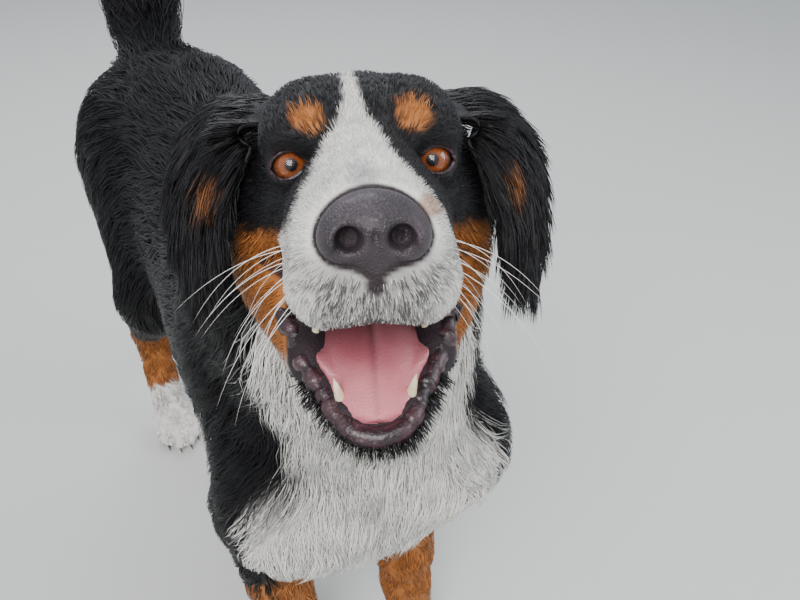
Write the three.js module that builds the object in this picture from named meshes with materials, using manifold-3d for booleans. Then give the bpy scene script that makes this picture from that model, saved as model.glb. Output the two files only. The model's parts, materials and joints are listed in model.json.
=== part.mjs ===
// A Bernese mountain dog standing with its head raised and turned, its mouth open and its tail up.
// Life size in millimetres: +Z is up, the dog faces -Y and +X is its left side.
// Rounded forms with named sizes melt into one body, which is parted into nodes by thin cuts.
// Each form also says how deep its coat is and which way the coat lies, and the locks follow that.
import * as THREE from "three";
import { mergeVertices } from "three/addons/utils/BufferGeometryUtils.js";
import Module from "manifold-3d";

const wasm = await Module();
wasm.setup();

// Driving dimensions of the dog, without its coat
const withersHeight = 632;
const chestDepth = 318;
const chestWidth = 214;
const forelegStance = 158; // between the two forefeet
const hindlegStance = 182;
const gap = 0.3; // left between two nodes that touch
const coreShare = 0.5; // how much of the coat's depth the solid under the locks takes up

// Where the parts of the body lie along it
const forefootY = -8;
const croupY = 485;
const elbowHeight = 0.52 * withersHeight;
const hockHeight = 0.3 * withersHeight;
const spineHeight = withersHeight - 56;
const ribsHeight = withersHeight - chestDepth / 2 - 2;

// The head turns to the dog's right and looks up; its own origin is midway between the eyes
const headAt = [-49, -164, 801];
const headTurn = -24; // degrees to the dog's left
const headRaise = 24;
const headTilt = -0.5;
const jawOpening = 25;

// Head sizes
const eyeSpacing = 77;
const eyeRadius = 11.8;
const muzzleLength = 98; // from the eyes to the upper lip's front
const muzzleWidth = 80;
const skullWidth = 128;
const jawHinge = [0, 62, -36];

const degree = Math.PI / 180;

// Small vector sums on plain arrays, which the distance functions run many times
const add = (a, b) => [a[0] + b[0], a[1] + b[1], a[2] + b[2]];
const sub = (a, b) => [a[0] - b[0], a[1] - b[1], a[2] - b[2]];
const times = (a, k) => [a[0] * k, a[1] * k, a[2] * k];
const dot = (a, b) => a[0] * b[0] + a[1] * b[1] + a[2] * b[2];
const cross = (a, b) => [
  a[1] * b[2] - a[2] * b[1],
  a[2] * b[0] - a[0] * b[2],
  a[0] * b[1] - a[1] * b[0],
];
const length = (a) => Math.hypot(a[0], a[1], a[2]);
const unit = (a) => times(a, 1 / (length(a) || 1));
const mix = (a, b, t) => a + (b - a) * t;
const mixPoints = (a, b, t) => add(times(a, 1 - t), times(b, t));
const clamp = (t, low = 0, high = 1) => Math.min(high, Math.max(low, t));
const along = (a, normal) => unit(sub(a, times(normal, dot(a, normal))));

// A seeded draw, the same on every run
function drawFrom(seed) {
  let state = seed;
  return () => {
    state = (Math.imul(state, 1664525) + 1013904223) >>> 0;
    return state / 4294967296;
  };
}

// The head's place as a matrix, and points and directions taken through it
const headMatrix = new THREE.Matrix4()
  .makeTranslation(...headAt)
  .multiply(new THREE.Matrix4().makeRotationZ(headTurn * degree))
  .multiply(new THREE.Matrix4().makeRotationX(-headRaise * degree))
  .multiply(new THREE.Matrix4().makeRotationY(headTilt * degree));
const headInverse = headMatrix.clone().invert();
const headPoint = (p) => new THREE.Vector3(...p).applyMatrix4(headMatrix).toArray();
const headDirection = (d) => new THREE.Vector3(...d).transformDirection(headMatrix).toArray();

// A point of the closed lower jaw, swung open about the jaw's hinge
function opened(p) {
  const angle = jawOpening * degree;
  const [x, y, z] = sub(p, jawHinge);
  const [c, s] = [Math.cos(angle), Math.sin(angle)];
  return add(jawHinge, [x, y * c - z * s, y * s + z * c]);
}

// Distance functions: a limb of two round ends, and an egg with three radii
function limb(from, to, fromRadius, toRadius) {
  const axis = sub(to, from);
  const axisSquared = dot(axis, axis);
  return (p) => {
    const q = sub(p, from);
    const t = clamp(dot(q, axis) / axisSquared);
    return length(sub(q, times(axis, t))) - mix(fromRadius, toRadius, t);
  };
}

function egg(centre, radii, turn = [0, 0, 0]) {
  const inverse = new THREE.Matrix4()
    .makeRotationFromEuler(new THREE.Euler(turn[0] * degree, turn[1] * degree, turn[2] * degree))
    .transpose().elements;
  return (p) => {
    const [x, y, z] = sub(p, centre);
    const q = [0, 1, 2].map((i) => (inverse[i] * x + inverse[4 + i] * y + inverse[8 + i] * z) / radii[i]);
    const k0 = length(q);
    const k1 = Math.hypot(q[0] / radii[0], q[1] / radii[1], q[2] / radii[2]);
    return k0 < 1e-6 ? -Math.min(...radii) : (k0 * (k0 - 1)) / k1;
  };
}

function melt(a, b, blend) {
  const h = Math.max(blend - Math.abs(a - b), 0) / blend;
  return Math.min(a, b) - h * h * blend * 0.25;
}

// The forms of the body. Each has its distance, how softly it melts in, its coat's depth and the coat's lie.
const bodyForms = [];
const headForms = [];
const sides = [1, -1];

function body(distance, blend, coat, lie) {
  bodyForms.push({ distance, blend, coat, lie: unit(lie) });
}

function head(shape, blend, coat, lie) {
  headForms.push({ distance: shape, blend, coat, lie: unit(lie) });
}

function trunkForms() {
  const spineEnd = croupY - 40;
  body(egg([0, 125, ribsHeight], [chestWidth / 2, 215, chestDepth / 2]), 40, 28, [0, 0.85, -0.5]);
  body(egg([0, -35, ribsHeight - 22], [82, 88, 112]), 60, 44, [0, 0.12, -1]);
  body(limb([0, 40, spineHeight], [0, spineEnd, spineHeight + 2], 52, 52), 50, 26, [0, 1, -0.12]);
  body(egg([0, 350, ribsHeight + 18], [88, 150, 110]), 60, 28, [0, 0.9, -0.4]);
  body(limb([0, 120, ribsHeight - 78], [0, 400, ribsHeight - 38], 72, 62), 60, 38, [0, 0.75, -0.65]);
  body(egg([0, croupY, spineHeight - 44], [84, 110, 94]), 60, 30, [0, 0.85, -0.5]);
  for (const s of sides) {
    body(limb([s * 54, 45, spineHeight - 8], [s * 78, -70, 432], 42, 46), 50, 24, [0, 0.4, -0.9]);
    body(limb([s * 80, -68, 428], [s * 84, 24, elbowHeight + 6], 45, 35), 40, 20, [0, 0.35, -0.95]);
    body(limb([s * 42, croupY + 60, 545], [s * 48, croupY + 82, 462], 46, 38), 50, 44, [0, 0.35, -0.95]);
  }
}

function hindLegForms(s) {
  const x = (s * hindlegStance) / 2;
  const hockY = croupY + 72;
  body(limb([s * 48, croupY + 5, 512], [s * 82, croupY - 68, 352], 72, 46), 50, 22, [0, 0.35, -0.95]);
  body(limb([s * 56, croupY + 62, 480], [s * 80, croupY + 8, 335], 50, 30), 45, 40, [0, 0.3, -1]);
  body(limb([s * 86, croupY - 60, 330], [x, hockY - 8, hockHeight + 4], 42, 22), 34, 13, [0, 0.5, -0.85]);
  body(limb([s * 86, croupY + 34, 275], [x, hockY + 8, hockHeight + 8], 15, 11), 22, 26, [0, 0.4, -0.9]);
  body(limb([x, hockY, hockHeight - 18], [x, hockY - 28, 52], 21, 21), 20, 9, [0, 0.05, -1]);
  pawForms(x, hockY - 56, 0.94, s);
}

function foreLegForms(s) {
  const x = (s * forelegStance) / 2;
  body(limb([s * 86, 16, elbowHeight - 6], [x, forefootY + 6, 165], 38, 26), 34, 12, [0, 0.12, -1]);
  body(limb([s * 86, 42, elbowHeight - 2], [x, 20, 200], 20, 14), 26, 30, [0, 0.4, -0.9]);
  body(limb([x, forefootY + 4, 158], [x, forefootY + 2, 112], 26, 25), 20, 8, [0, 0, -1]);
  body(limb([x, forefootY + 2, 105], [x, forefootY - 18, 48], 24, 25), 20, 7, [0, -0.1, -1]);
  pawForms(x, forefootY - 36, 1, s);
}

// A paw of one pad and four toes, the middle two longer
const toeSpread = [-25, -9, 9, 25];
const toeReach = [24, 40, 40, 24];
function pawForms(x, y, scale, s) {
  body(egg([x, y + 2, 24 * scale], [35 * scale, 38 * scale, 26 * scale]), 16, 6, [0, -0.7, -0.7]);
  toeSpread.forEach((across, i) => {
    const at = [x + s * across * scale, y - toeReach[i] * scale, 19 * scale];
    body(egg(at, [12.5 * scale, 24 * scale, 17 * scale], [8, 0, 0]), 7, 5, [0, -0.8, -0.6]);
  });
}

// The neck rises from the shoulders to the back of the skull, with its ruff
const neckRoot = [0, 24, withersHeight - 92];
const neckMiddle = [-12, -46, withersHeight + 4];
const neckTop = headPoint([0, 84, -42]);
const throat = headPoint([0, 56, -78]);
function neckForms() {
  body(limb(neckRoot, neckMiddle, 92, 76), 60, 38, [0, 0.45, -0.9]);
  body(limb(neckMiddle, neckTop, 76, 50), 50, 32, [0.05, 0.5, -0.85]);
  body(limb([-6, -66, withersHeight - 76], throat, 58, 40), 50, 42, [0, 0.1, -1]);
}

// The tail is carried up in a soft curve
const tailPoints = [
  [0, croupY + 78, 592],
  [6, croupY + 146, 632],
  [22, croupY + 194, 704],
  [38, croupY + 208, 792],
  [48, croupY + 190, 872],
];
const tailCurve = new THREE.CatmullRomCurve3(tailPoints.map((p) => new THREE.Vector3(...p)));
const tailRadius = (t) => mix(25, 9, t);
function tailForms() {
  const steps = 8;
  for (let i = 0; i < steps; i++) {
    const [a, b] = [i / steps, (i + 1) / steps];
    const [from, to] = [tailCurve.getPoint(a).toArray(), tailCurve.getPoint(b).toArray()];
    const lie = add(unit(sub(to, from)), [0, 0.1, -0.1]);
    body(limb(from, to, tailRadius(a), tailRadius(b)), i ? 12 : 40, mix(34, 54, Math.sin(a * Math.PI)), lie);
  }
}

// Skull, brows, cheeks and muzzle, in the head's own frame
function headTopForms() {
  const half = muzzleWidth / 2;
  head(egg([0, 70, 4], [skullWidth / 2 - 3, 70, 44]), 20, 7, [0, 1, 0.1]);
  head(egg([0, 110, -2], [38, 30, 32]), 24, 14, [0, 1, -0.4]);
  head(limb([0, -22, -6], [0, -90, -21], 26, 18), 20, 3, [0, 1, 0.15]);
  head(egg([0, -98, -46], [22, 13, 17]), 12, 3, [0, 0.3, -1]);
  for (const s of sides) {
    head(egg([s * 24, 18, 17], [29, 34, 27]), 16, 6, [s * 0.2, 0.9, 0.45]);
    head(egg([s * 35, -3, 16], [17, 13, 10], [0, s * 18, 0]), 10, 5, [s * 0.4, 0.6, 0.6]);
    head(limb([s * 40, 4, -25], [s * 54, 60, -20], 15, 25), 22, 6, [s * 0.2, 0.9, -0.3]);
    head(egg([s * 46, 62, -42], [24, 42, 34]), 24, 10, [s * 0.1, 0.8, -0.6]);
    head(limb([s * 19, -15, -24], [s * 14, -84, -30], 24, 20), 18, 4, [s * 0.2, 1, -0.1]);
    head(limb([s * (half - 14), -24, -43], [s * (half - 20), -82, -50], 15, 19), 12, 4, [s * 0.1, 0.6, -0.7]);
  }
}

// The hollow of each eye with the lids standing in it round the eyeball
function eyeHollows(p, d) {
  for (const s of sides) {
    const hollow = egg([(s * eyeSpacing) / 2 + s, -20, -1], [15, 11, 9])(p);
    d = -melt(-d, hollow, 10);
    d = melt(d, egg([(s * eyeSpacing) / 2, 0.5, 0], [14, 13.4, 12.6])(p), 3);
  }
  return d;
}

// The lower jaw, given closed and swung open, with the skin of the cheeks that joins it to the head
function jawForms() {
  head(egg(opened([0, -79, -74]), [20, 15, 11], [jawOpening, 0, 0]), 10, 4, [0, 0.4, -0.9]);
  head(limb(opened([0, -58, -80]), opened([0, 34, -80]), 10, 24), 20, 8, [0, 0.9, -0.4]);
  for (const s of sides) {
    head(limb(opened([s * 16, -78, -68]), opened([s * 34, -40, -62]), 8, 9), 8, 4, [0, 0.9, -0.4]);
    head(limb(opened([s * 34, -40, -62]), opened([s * 40, 0, -56]), 9, 13), 12, 6, [0, 0.9, -0.4]);
    head(limb(opened([s * 36, -5, -64]), opened([s * 42, 42, -56]), 14, 23), 20, 9, [0, 0.9, -0.4]);
  }
}

trunkForms();
for (const s of sides) {
  hindLegForms(s);
  foreLegForms(s);
}
neckForms();
tailForms();
headTopForms();
jawForms();

// The open mouth, in the head's frame: a wedge between the lips of both jaws and the vault of the palate
const mouthCorner = [0, 10, -52];
const mouthHalfWidth = (y) => clamp(mix(21, 33, (y + 90) / 100), 21, 33);
const lipLine = ([x, y]) => -50 - 24 * clamp((14 - y) / 94) * (1 - 0.45 * Math.exp(-((x / 11) ** 2)));
function mouth(p) {
  const [, y, z] = sub(p, mouthCorner);
  const lower = (jawOpening + 2) * degree;
  const overJaw = -z * Math.cos(lower) + y * Math.sin(lower);
  const wedge = Math.max(p[2] - lipLine(p), overJaw, y);
  const inside = Math.abs(p[0]) - mouthHalfWidth(p[1]);
  const vault = Math.max(inside, p[2] + 43, -76 - p[2], -92 - p[1], p[1] - 40);
  const trough = Math.max(inside + 4, overJaw - 10, p[2] + 45, p[1] - 40, -(p[1] + 80));
  return Math.min(wedge, vault, trough);
}

// One distance over a list of forms, and the coat and its lie blended from the nearest of them
function distanceOver(forms, p) {
  let d = 1e9;
  for (const form of forms) d = melt(d, form.distance(p), form.blend);
  return d;
}

function coatOver(forms, p) {
  let [total, depth, lie] = [1e-9, 0, [0, 0, 0]];
  for (const form of forms) {
    const weight = Math.exp(-Math.max(form.distance(p) + 20, 0) / 14);
    total += weight;
    depth += weight * form.coat;
    lie = add(lie, times(form.lie, weight));
  }
  return { depth: depth / total, lie: unit(lie) };
}

// The body's core is the skin raised by part of the coat's depth, and the head's melts into it
const core = (p) => {
  const near = bodyForms.filter((form) => form.distance(p) < 90);
  return near.length ? distanceOver(near, p) - coreShare * coatOver(near, p).depth : 80;
};
const headOwn = (p) => eyeHollows(p, distanceOver(headForms, p) - coatOver(headForms, p).depth * 0.6);
const headCore = (p) => Math.max(melt(headOwn(p), core(headPoint(p)), 30), -mouth(p));
const neckCore = (p) => {
  const q = new THREE.Vector3(...p).applyMatrix4(headInverse).toArray();
  return q[1] > -20 ? melt(headOwn(q), core(p), 30) : core(p);
};

function slope(field, p, step = 1.5) {
  return unit([0, 1, 2].map((i) => {
    const e = [0, 0, 0];
    e[i] = step;
    return field(add(p, e)) - field(sub(p, e));
  }));
}

// Grid lines from low to high, with a spacing that may change on the way
function gridLines(low, high, spacing) {
  const lines = [low];
  while (lines.at(-1) < high) {
    const at = lines.at(-1);
    lines.push(at + (typeof spacing === "function" ? spacing(at) : spacing));
  }
  return lines;
}

// The twelve edges of a cell, as the two corners that each joins, and the four edges round each face
const cellEdges = [0, 1, 2].flatMap((axis) => {
  const [u, v] = [1 << (axis + 1) % 3, 1 << (axis + 2) % 3];
  return [0, u, v, u + v].map((from) => [from, from + (1 << axis)]);
});
const cellFaces = [0, 1, 2].flatMap((axis) =>
  [0, 1 << axis].map((side) =>
    [...cellEdges.keys()].filter((e) => cellEdges[e].every((corner) => (corner & (1 << axis)) === side)),
  ),
);

// Crossed edges of one cell, gathered into the patches of surface that pass through it
function cellPatches(inside) {
  const crossed = (e) => inside[cellEdges[e][0]] !== inside[cellEdges[e][1]];
  const patch = cellEdges.map((_, e) => e);
  const join = (e, f) => {
    const [keep, drop] = [patch[e], patch[f]];
    patch.forEach((value, n) => {
      if (value === drop) patch[n] = keep;
    });
  };
  for (const face of cellFaces) {
    const cut = face.filter(crossed);
    if (cut.length === 2) join(cut[0], cut[1]);
    if (cut.length < 4) continue;
    const innerCorner = (e) => cellEdges[e].find((corner) => inside[corner]);
    for (const e of cut) join(e, cut.find((f) => f !== e && innerCorner(f) === innerCorner(e)));
  }
  const patches = new Map();
  for (const e of patch.keys())
    if (crossed(e)) patches.set(patch[e], [...(patches.get(patch[e]) ?? []), e]);
  return [...patches.values()];
}

// A closed surface net where a field crosses zero: one point for each patch of surface in each cell
function netSurface(field, lines, settle = 3) {
  const counts = lines.map((line) => line.length);
  const steps = [1, counts[0], counts[0] * counts[1]];
  const values = new Float64Array(counts[0] * counts[1] * counts[2]);
  const eachPoint = (less, visit) => {
    for (let k = 0; k < counts[2] - less; k++)
      for (let j = 0; j < counts[1] - less; j++)
        for (let i = 0; i < counts[0] - less; i++) visit([i, j, k], i + j * steps[1] + k * steps[2]);
  };
  const cornerStep = (corner) => steps.reduce((sum, step, axis) => sum + ((corner >> axis) & 1) * step, 0);
  eachPoint(0, (cell, at) => {
    const rim = cell.some((n, axis) => n === 0 || n === counts[axis] - 1);
    values[at] = rim ? 1 : field(cell.map((n, axis) => lines[axis][n])) || 1e-6;
  });
  const pointOf = new Map();
  const positions = [];
  eachPoint(1, (cell, at) => {
    const corners = [0, 1, 2, 3, 4, 5, 6, 7].map((corner) => values[at + cornerStep(corner)]);
    const inside = corners.map((value) => value <= 0);
    if (inside.every((value) => value === inside[0])) return;
    const low = cell.map((n, axis) => lines[axis][n]);
    const high = cell.map((n, axis) => lines[axis][n + 1]);
    const place = (corner) => low.map((from, axis) => (corner & (1 << axis) ? high[axis] : from));
    for (const patch of cellPatches(inside)) {
      const crossings = patch.map((e) => {
        const [a, b] = cellEdges[e];
        return mixPoints(place(a), place(b), corners[a] / (corners[a] - corners[b]));
      });
      let p = times(crossings.reduce(add), 1 / crossings.length);
      for (let n = 0; n < settle; n++) {
        const moved = sub(p, times(slope(field, p), field(p)));
        p = moved.map((m, axis) => clamp(m, low[axis] + 0.05, high[axis] - 0.05));
      }
      for (const e of patch) pointOf.set(at * 12 + e, positions.length / 3);
      positions.push(...p);
    }
  });
  const faces = [];
  eachPoint(1, (cell, at) => {
    for (const axis of [0, 1, 2]) {
      const here = values[at] > 0;
      if (here === values[at + steps[axis]] > 0) continue;
      const [u, v] = [steps[(axis + 1) % 3], steps[(axis + 2) % 3]];
      const round = [[1, 1], [0, 1], [0, 0], [1, 0]];
      const ring = round.map(([a, b]) => pointOf.get((at - a * u - b * v) * 12 + axis * 4 + a + 2 * b));
      const [a, b, c, d] = here ? ring.reverse() : ring;
      faces.push(a, b, c, a, c, d);
    }
  });
  return solidFrom(positions, faces);
}

function solidFrom(positions, faces) {
  const vertProperties = new Float32Array(positions);
  const mesh = new wasm.Mesh({ numProp: 3, vertProperties, triVerts: new Uint32Array(faces) });
  const made = new wasm.Manifold(mesh);
  return made.volume() < 0 ? solidFrom(positions, [...faces].reverse()) : made;
}

// A solid with its corners set on a fine grid, so that cuts leave no two of them closer than its step
const fineGrid = 0.01;
function onFineGrid(solid) {
  const { vertProperties, triVerts, numVert, numProp } = solid.getMesh();
  const places = new Map();
  const positions = [];
  const merged = Array.from({ length: numVert }, (_, i) => {
    const at = [0, 1, 2].map((axis) => Math.round(vertProperties[i * numProp + axis] / fineGrid));
    const key = at.join();
    if (!places.has(key)) {
      places.set(key, places.size);
      positions.push(...times(at, fineGrid));
    }
    return places.get(key);
  });
  const faces = [];
  for (let i = 0; i < triVerts.length; i += 3) {
    const [a, b, c] = [0, 1, 2].map((n) => merged[triVerts[i + n]]);
    if (a !== b && b !== c && c !== a) faces.push(a, b, c);
  }
  return solidFrom(positions, faces);
}

// Solids and three.js geometries, turned into each other
function solidOf(geometry, matrix = new THREE.Matrix4()) {
  const plain = new THREE.BufferGeometry().setIndex(geometry.index);
  plain.setAttribute("position", geometry.getAttribute("position").clone());
  const merged = mergeVertices(plain.applyMatrix4(matrix), 1e-3);
  return solidFrom(merged.attributes.position.array, merged.index.array);
}

function geometryOf(solid) {
  const mesh = solid.getMesh();
  const geometry = new THREE.BufferGeometry();
  const positions = new Float32Array(mesh.numVert * 3);
  for (let i = 0; i < mesh.numVert; i++)
    positions.set(mesh.vertProperties.subarray(i * mesh.numProp, i * mesh.numProp + 3), i * 3);
  geometry.setAttribute("position", new THREE.BufferAttribute(positions, 3));
  geometry.setIndex(new THREE.BufferAttribute(mesh.triVerts, 1));
  geometry.computeVertexNormals();
  return geometry;
}

const joined = (solids) => wasm.Manifold.union(solids);
const largest = (solid) =>
  solid.decompose().reduce((best, piece) => (piece.volume() > best.volume() ? piece : best));

// A solid swollen by the gap, to cut its neighbour clear of it: sharper corners move out further
function swollen(solid, by = gap) {
  const { vertProperties, triVerts, numVert, numProp } = solid.getMesh();
  const corner = (i) => [...vertProperties.subarray(i * numProp, i * numProp + 3)];
  const points = Array.from({ length: numVert }, (_, i) => corner(i));
  const facing = points.map(() => []);
  for (let i = 0; i < triVerts.length; i += 3) {
    const [a, b, c] = [0, 1, 2].map((n) => points[triVerts[i + n]]);
    const normal = cross(sub(b, a), sub(c, a));
    for (const n of [0, 1, 2]) facing[triVerts[i + n]].push(normal);
  }
  const moved = points.map((p, i) => {
    const out = unit(facing[i].reduce(add, [0, 0, 0]));
    const flattest = Math.min(...facing[i].map((normal) => dot(unit(normal), out)));
    return add(p, times(out, by / clamp(flattest, 0.4, 1)));
  });
  return solidFrom(moved.flat(), Array.from(triVerts));
}

// A half space's cut: keeps what lies on the normal's side of a point, less half the gap
function keepBeyond(solid, point, normal) {
  const n = unit(normal);
  return solid.trimByPlane(n, dot(n, point) + gap / 2);
}

// A box that takes a limb out of the body, drawn in or let out by half the gap
function cuttingBox(centre, size, letOut) {
  const geometry = new THREE.BoxGeometry(...size.map((s) => s + letOut));
  return solidOf(geometry, new THREE.Matrix4().makeTranslation(...centre));
}

// One flat lock of hair: it leaves the core, follows the coat's lie and tapers to its tip
const lockRings = [0, 0.38, 0.72, 1];
const lockWidths = [0.8, 1, 0.66, 0];
function lock(root, style, random) {
  const size = mix(0.85, 1.15, random());
  const reach = style.length * size;
  const turn = mix(-style.swing, style.swing, random()) * degree;
  const positions = [];
  const faces = [];
  let p = root;
  let heading = null;
  let travelled = 0;
  lockRings.forEach((t, ring) => {
    const out = slope(core, p, 3);
    const coat = coatOver(bodyForms, p);
    const lie = along(coat.lie, out);
    const wanted = add(times(lie, Math.cos(turn)), times(cross(out, lie), Math.sin(turn)));
    heading = heading ? unit(add(times(heading, 0.45), times(wanted, 0.55))) : unit(wanted);
    const rise = ring === 0 ? -style.width / 9 : (1 - coreShare) * coat.depth * t ** 0.6;
    const at = add(p, times(out, rise));
    const side = unit(cross(heading, out));
    const top = unit(cross(side, heading));
    if (t === 1) positions.push(...at);
    else {
      const half = (style.width / 2) * size * lockWidths[ring];
      const thick = (style.width / 10) * lockWidths[ring];
      for (const q of [times(side, half), times(top, thick), times(side, -half), times(top, -thick)])
        positions.push(...add(at, q));
    }
    if (t === 1) return;
    travelled = lockRings[ring + 1] - t;
    const next = add(p, times(heading, reach * travelled));
    const away = core(next);
    p = sub(next, times(slope(core, next, 3), away > 0 ? away * style.cling : away));
  });
  faces.push(0, 1, 2, 0, 2, 3);
  for (let ring = 0; ring < 2; ring++)
    for (let i = 0; i < 4; i++) {
      const [a, b] = [ring * 4 + i, ring * 4 + ((i + 1) % 4)];
      faces.push(a, a + 4, b, b, a + 4, b + 4);
    }
  for (let i = 0; i < 4; i++) faces.push(8 + i, 12, 8 + ((i + 1) % 4));
  return solidFrom(positions, faces);
}

// Roots spread evenly over a solid's outside, at least a spacing apart, where a test lets them grow
function rootsOn(solid, spacing, grows, random) {
  const mesh = solid.getMesh();
  const corner = (v) => Array.from(mesh.vertProperties.subarray(v * mesh.numProp, v * mesh.numProp + 3));
  const triangles = [];
  let area = 0;
  for (let i = 0; i < mesh.triVerts.length; i += 3) {
    const [a, b, c] = [0, 1, 2].map((n) => corner(mesh.triVerts[i + n]));
    area += length(cross(sub(b, a), sub(c, a))) / 2;
    triangles.push({ a, b, c, upTo: area });
  }
  const roots = [];
  for (let tries = 0; tries < 5000; tries++) {
    const pick = random() * area;
    const { a, b, c } = triangles.find((triangle) => triangle.upTo >= pick) ?? triangles[0];
    const u = Math.sqrt(random());
    const v = random();
    const p = add(add(times(a, 1 - u), times(b, u * (1 - v))), times(c, u * v));
    const room = typeof spacing === "function" ? spacing(p) : spacing;
    if (grows(p) && roots.every((root) => length(sub(root, p)) > room)) roots.push(p);
  }
  return roots;
}

// A node's solid with its locks, rooted where a test lets them grow and ending at the node's cuts
function withLocks(solid, style, ...cuts) {
  const random = drawFrom(style.seed);
  const grows = (p) => Math.abs(core(p)) < 4 && style.grows(p);
  const roots = rootsOn(solid, style.spacing, grows, random);
  const shaggy = joined([solid, ...roots.map((root) => lock(root, style, random))]);
  return largest(trimmed(shaggy, ...cuts));
}

// Cuts: between head, neck, chest, rump and tail, each a point and the way that its plane faces
const headCut = { point: [0, 84, -6], normal: [0, 0.84, -0.54] };
const neckCut = { point: [0, -65, withersHeight - 67], normal: unit([0, 0.68, -1]) };
const rumpCut = { point: [0, 335, 0], normal: [0, 1, 0] };
const tailCut = { point: [0, croupY + 118, 614], normal: unit([0, 0.84, 0.54]) };
const tailMiddle = {
  point: tailCurve.getPoint(0.58).toArray(),
  normal: tailCurve.getTangent(0.58).toArray(),
};
const reversed = (cut) => ({ point: cut.point, normal: times(cut.normal, -1) });
const inBody = (cut) => ({ point: headPoint(cut.point), normal: headDirection(cut.normal) });
const trimmed = (solid, ...cuts) =>
  cuts.reduce((left, cut) => keepBeyond(left, cut.point, cut.normal), solid);

// The boxes that take the legs out of the trunk, and the heights where each leg is parted
const legBox = (s, [inner, outer], [front, back], [bottom, top], letOut) =>
  cuttingBox(
    [(s * (inner + outer)) / 2, (front + back) / 2, (bottom + top) / 2],
    [outer - inner, back - front, top - bottom],
    letOut,
  );
const foreLegTop = elbowHeight + 16;
const foreBox = (s, letOut) => legBox(s, [42, 260], [-90, 128], [-60, foreLegTop], letOut);
const thighTop = 408;
const thighBox = (s, letOut) => legBox(s, [0, 260], [rumpCut.point[1], 720], [-60, thighTop], letOut);
const pasternCut = 96;
const shankCut = 312;
const hockCut = hockHeight - 30;
const above = (z) => ({ point: [0, 0, z], normal: [0, 0, 1] });
const below = (z) => ({ point: [0, 0, z], normal: [0, 0, -1] });

const nodes = new Map();
const material = (color, roughness) => new THREE.MeshStandardMaterial({ color, roughness, metalness: 0 });
const materials = {
  blackCoat: material(0x17161a, 0.85),
  whiteCoat: material(0xe4e0da, 0.85),
  rustCoat: material(0x9a5428, 0.85),
  nose: material(0x2b2528, 0.5),
  tongue: material(0xc4636e, 0.45),
  eye: material(0x6b3414, 0.12),
};

function node(name, cut, finish, inHead = false) {
  const solid = onFineGrid(cut);
  nodes.set(name, { solid, finish, inHead });
  return solid;
}

// Eyes, nose, tongue and teeth
const eyeAt = (s) => [(s * eyeSpacing) / 2, 1, 0];
function eyeBall(radius, s) {
  const turned = new THREE.Matrix4().makeTranslation(...eyeAt(s));
  return solidOf(new THREE.SphereGeometry(radius, 12, 8), turned);
}

// The opening between the lids, an almond cut forwards from the eye
function lidOpening(s) {
  const [halfWidth, halfHeight] = [10.4, 6.6];
  const almond = new THREE.Shape()
    .moveTo(-halfWidth, -1.5)
    .quadraticCurveTo(-2, halfHeight * 2.05, halfWidth, 0.5)
    .quadraticCurveTo(1, -halfHeight * 1.75, -halfWidth, -1.5);
  const geometry = new THREE.ExtrudeGeometry(almond, { depth: 40, bevelEnabled: false, curveSegments: 5 });
  const matrix = new THREE.Matrix4()
    .makeTranslation(...eyeAt(s))
    .multiply(new THREE.Matrix4().makeRotationZ(s * 8 * degree))
    .multiply(new THREE.Matrix4().makeRotationX(88 * degree))
    .multiply(new THREE.Matrix4().makeScale(s, 1, 1));
  return solidOf(geometry, matrix);
}

const noseFront = -(muzzleLength + 24);
function noseField(p) {
  const forms = [
    [egg([0, -108, -19], [20, 15, 13.5]), 1],
    ...sides.map((s) => [egg([s * 13.5, -109, -26], [9.5, 14, 10.5]), 6]),
    [limb([0, -110, -28], [0, -109, -44], 10, 5), 7],
    [limb([0, -110, -44], [0, -108, -56], 3.6, 2.4), 4],
  ];
  let d = 1e9;
  for (const [distance, blend] of forms) d = melt(d, distance(p), blend);
  for (const s of sides) {
    d = Math.max(d, -limb([s * 9.5, noseFront - 5, -24], [s * 11, -112, -23], 4.6, 3)(p));
    d = Math.max(d, -limb([s * 12, noseFront, -27], [s * 24, -112, -31], 2.2, 1.6)(p));
  }
  return Math.max(d, -limb([0, noseFront - 3, -25], [0, noseFront + 6, -48], 1.6, 1.6)(p));
}

// A tongue or an ear: rows of a thin leaf, with its top and its underside alike
function leaf(rows, columns, place) {
  const positions = [];
  const faces = [];
  const across = columns + 1;
  for (const face of [1, -1])
    for (let i = 0; i <= rows; i++)
      for (let j = 0; j <= columns; j++) positions.push(...place(i / rows, (2 * j) / columns - 1, face));
  const under = (rows + 1) * across;
  for (let i = 0; i < rows; i++)
    for (let j = 0; j < columns; j++) {
      const a = i * across + j;
      faces.push(a, a + 1, a + across, a + 1, a + across + 1, a + across);
      faces.push(under + a, under + a + across, under + a + 1);
      faces.push(under + a + 1, under + a + across, under + a + across + 1);
    }
  const rim = [];
  for (let j = 0; j < columns; j++) rim.push(j);
  for (let i = 0; i < rows; i++) rim.push(i * across + columns);
  for (let j = columns; j > 0; j--) rim.push(rows * across + j);
  for (let i = rows; i > 0; i--) rim.push(i * across);
  rim.forEach((a, n) => {
    const b = rim[(n + 1) % rim.length];
    faces.push(a, under + a, b, b, under + a, under + b);
  });
  return solidFrom(positions, faces);
}

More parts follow.
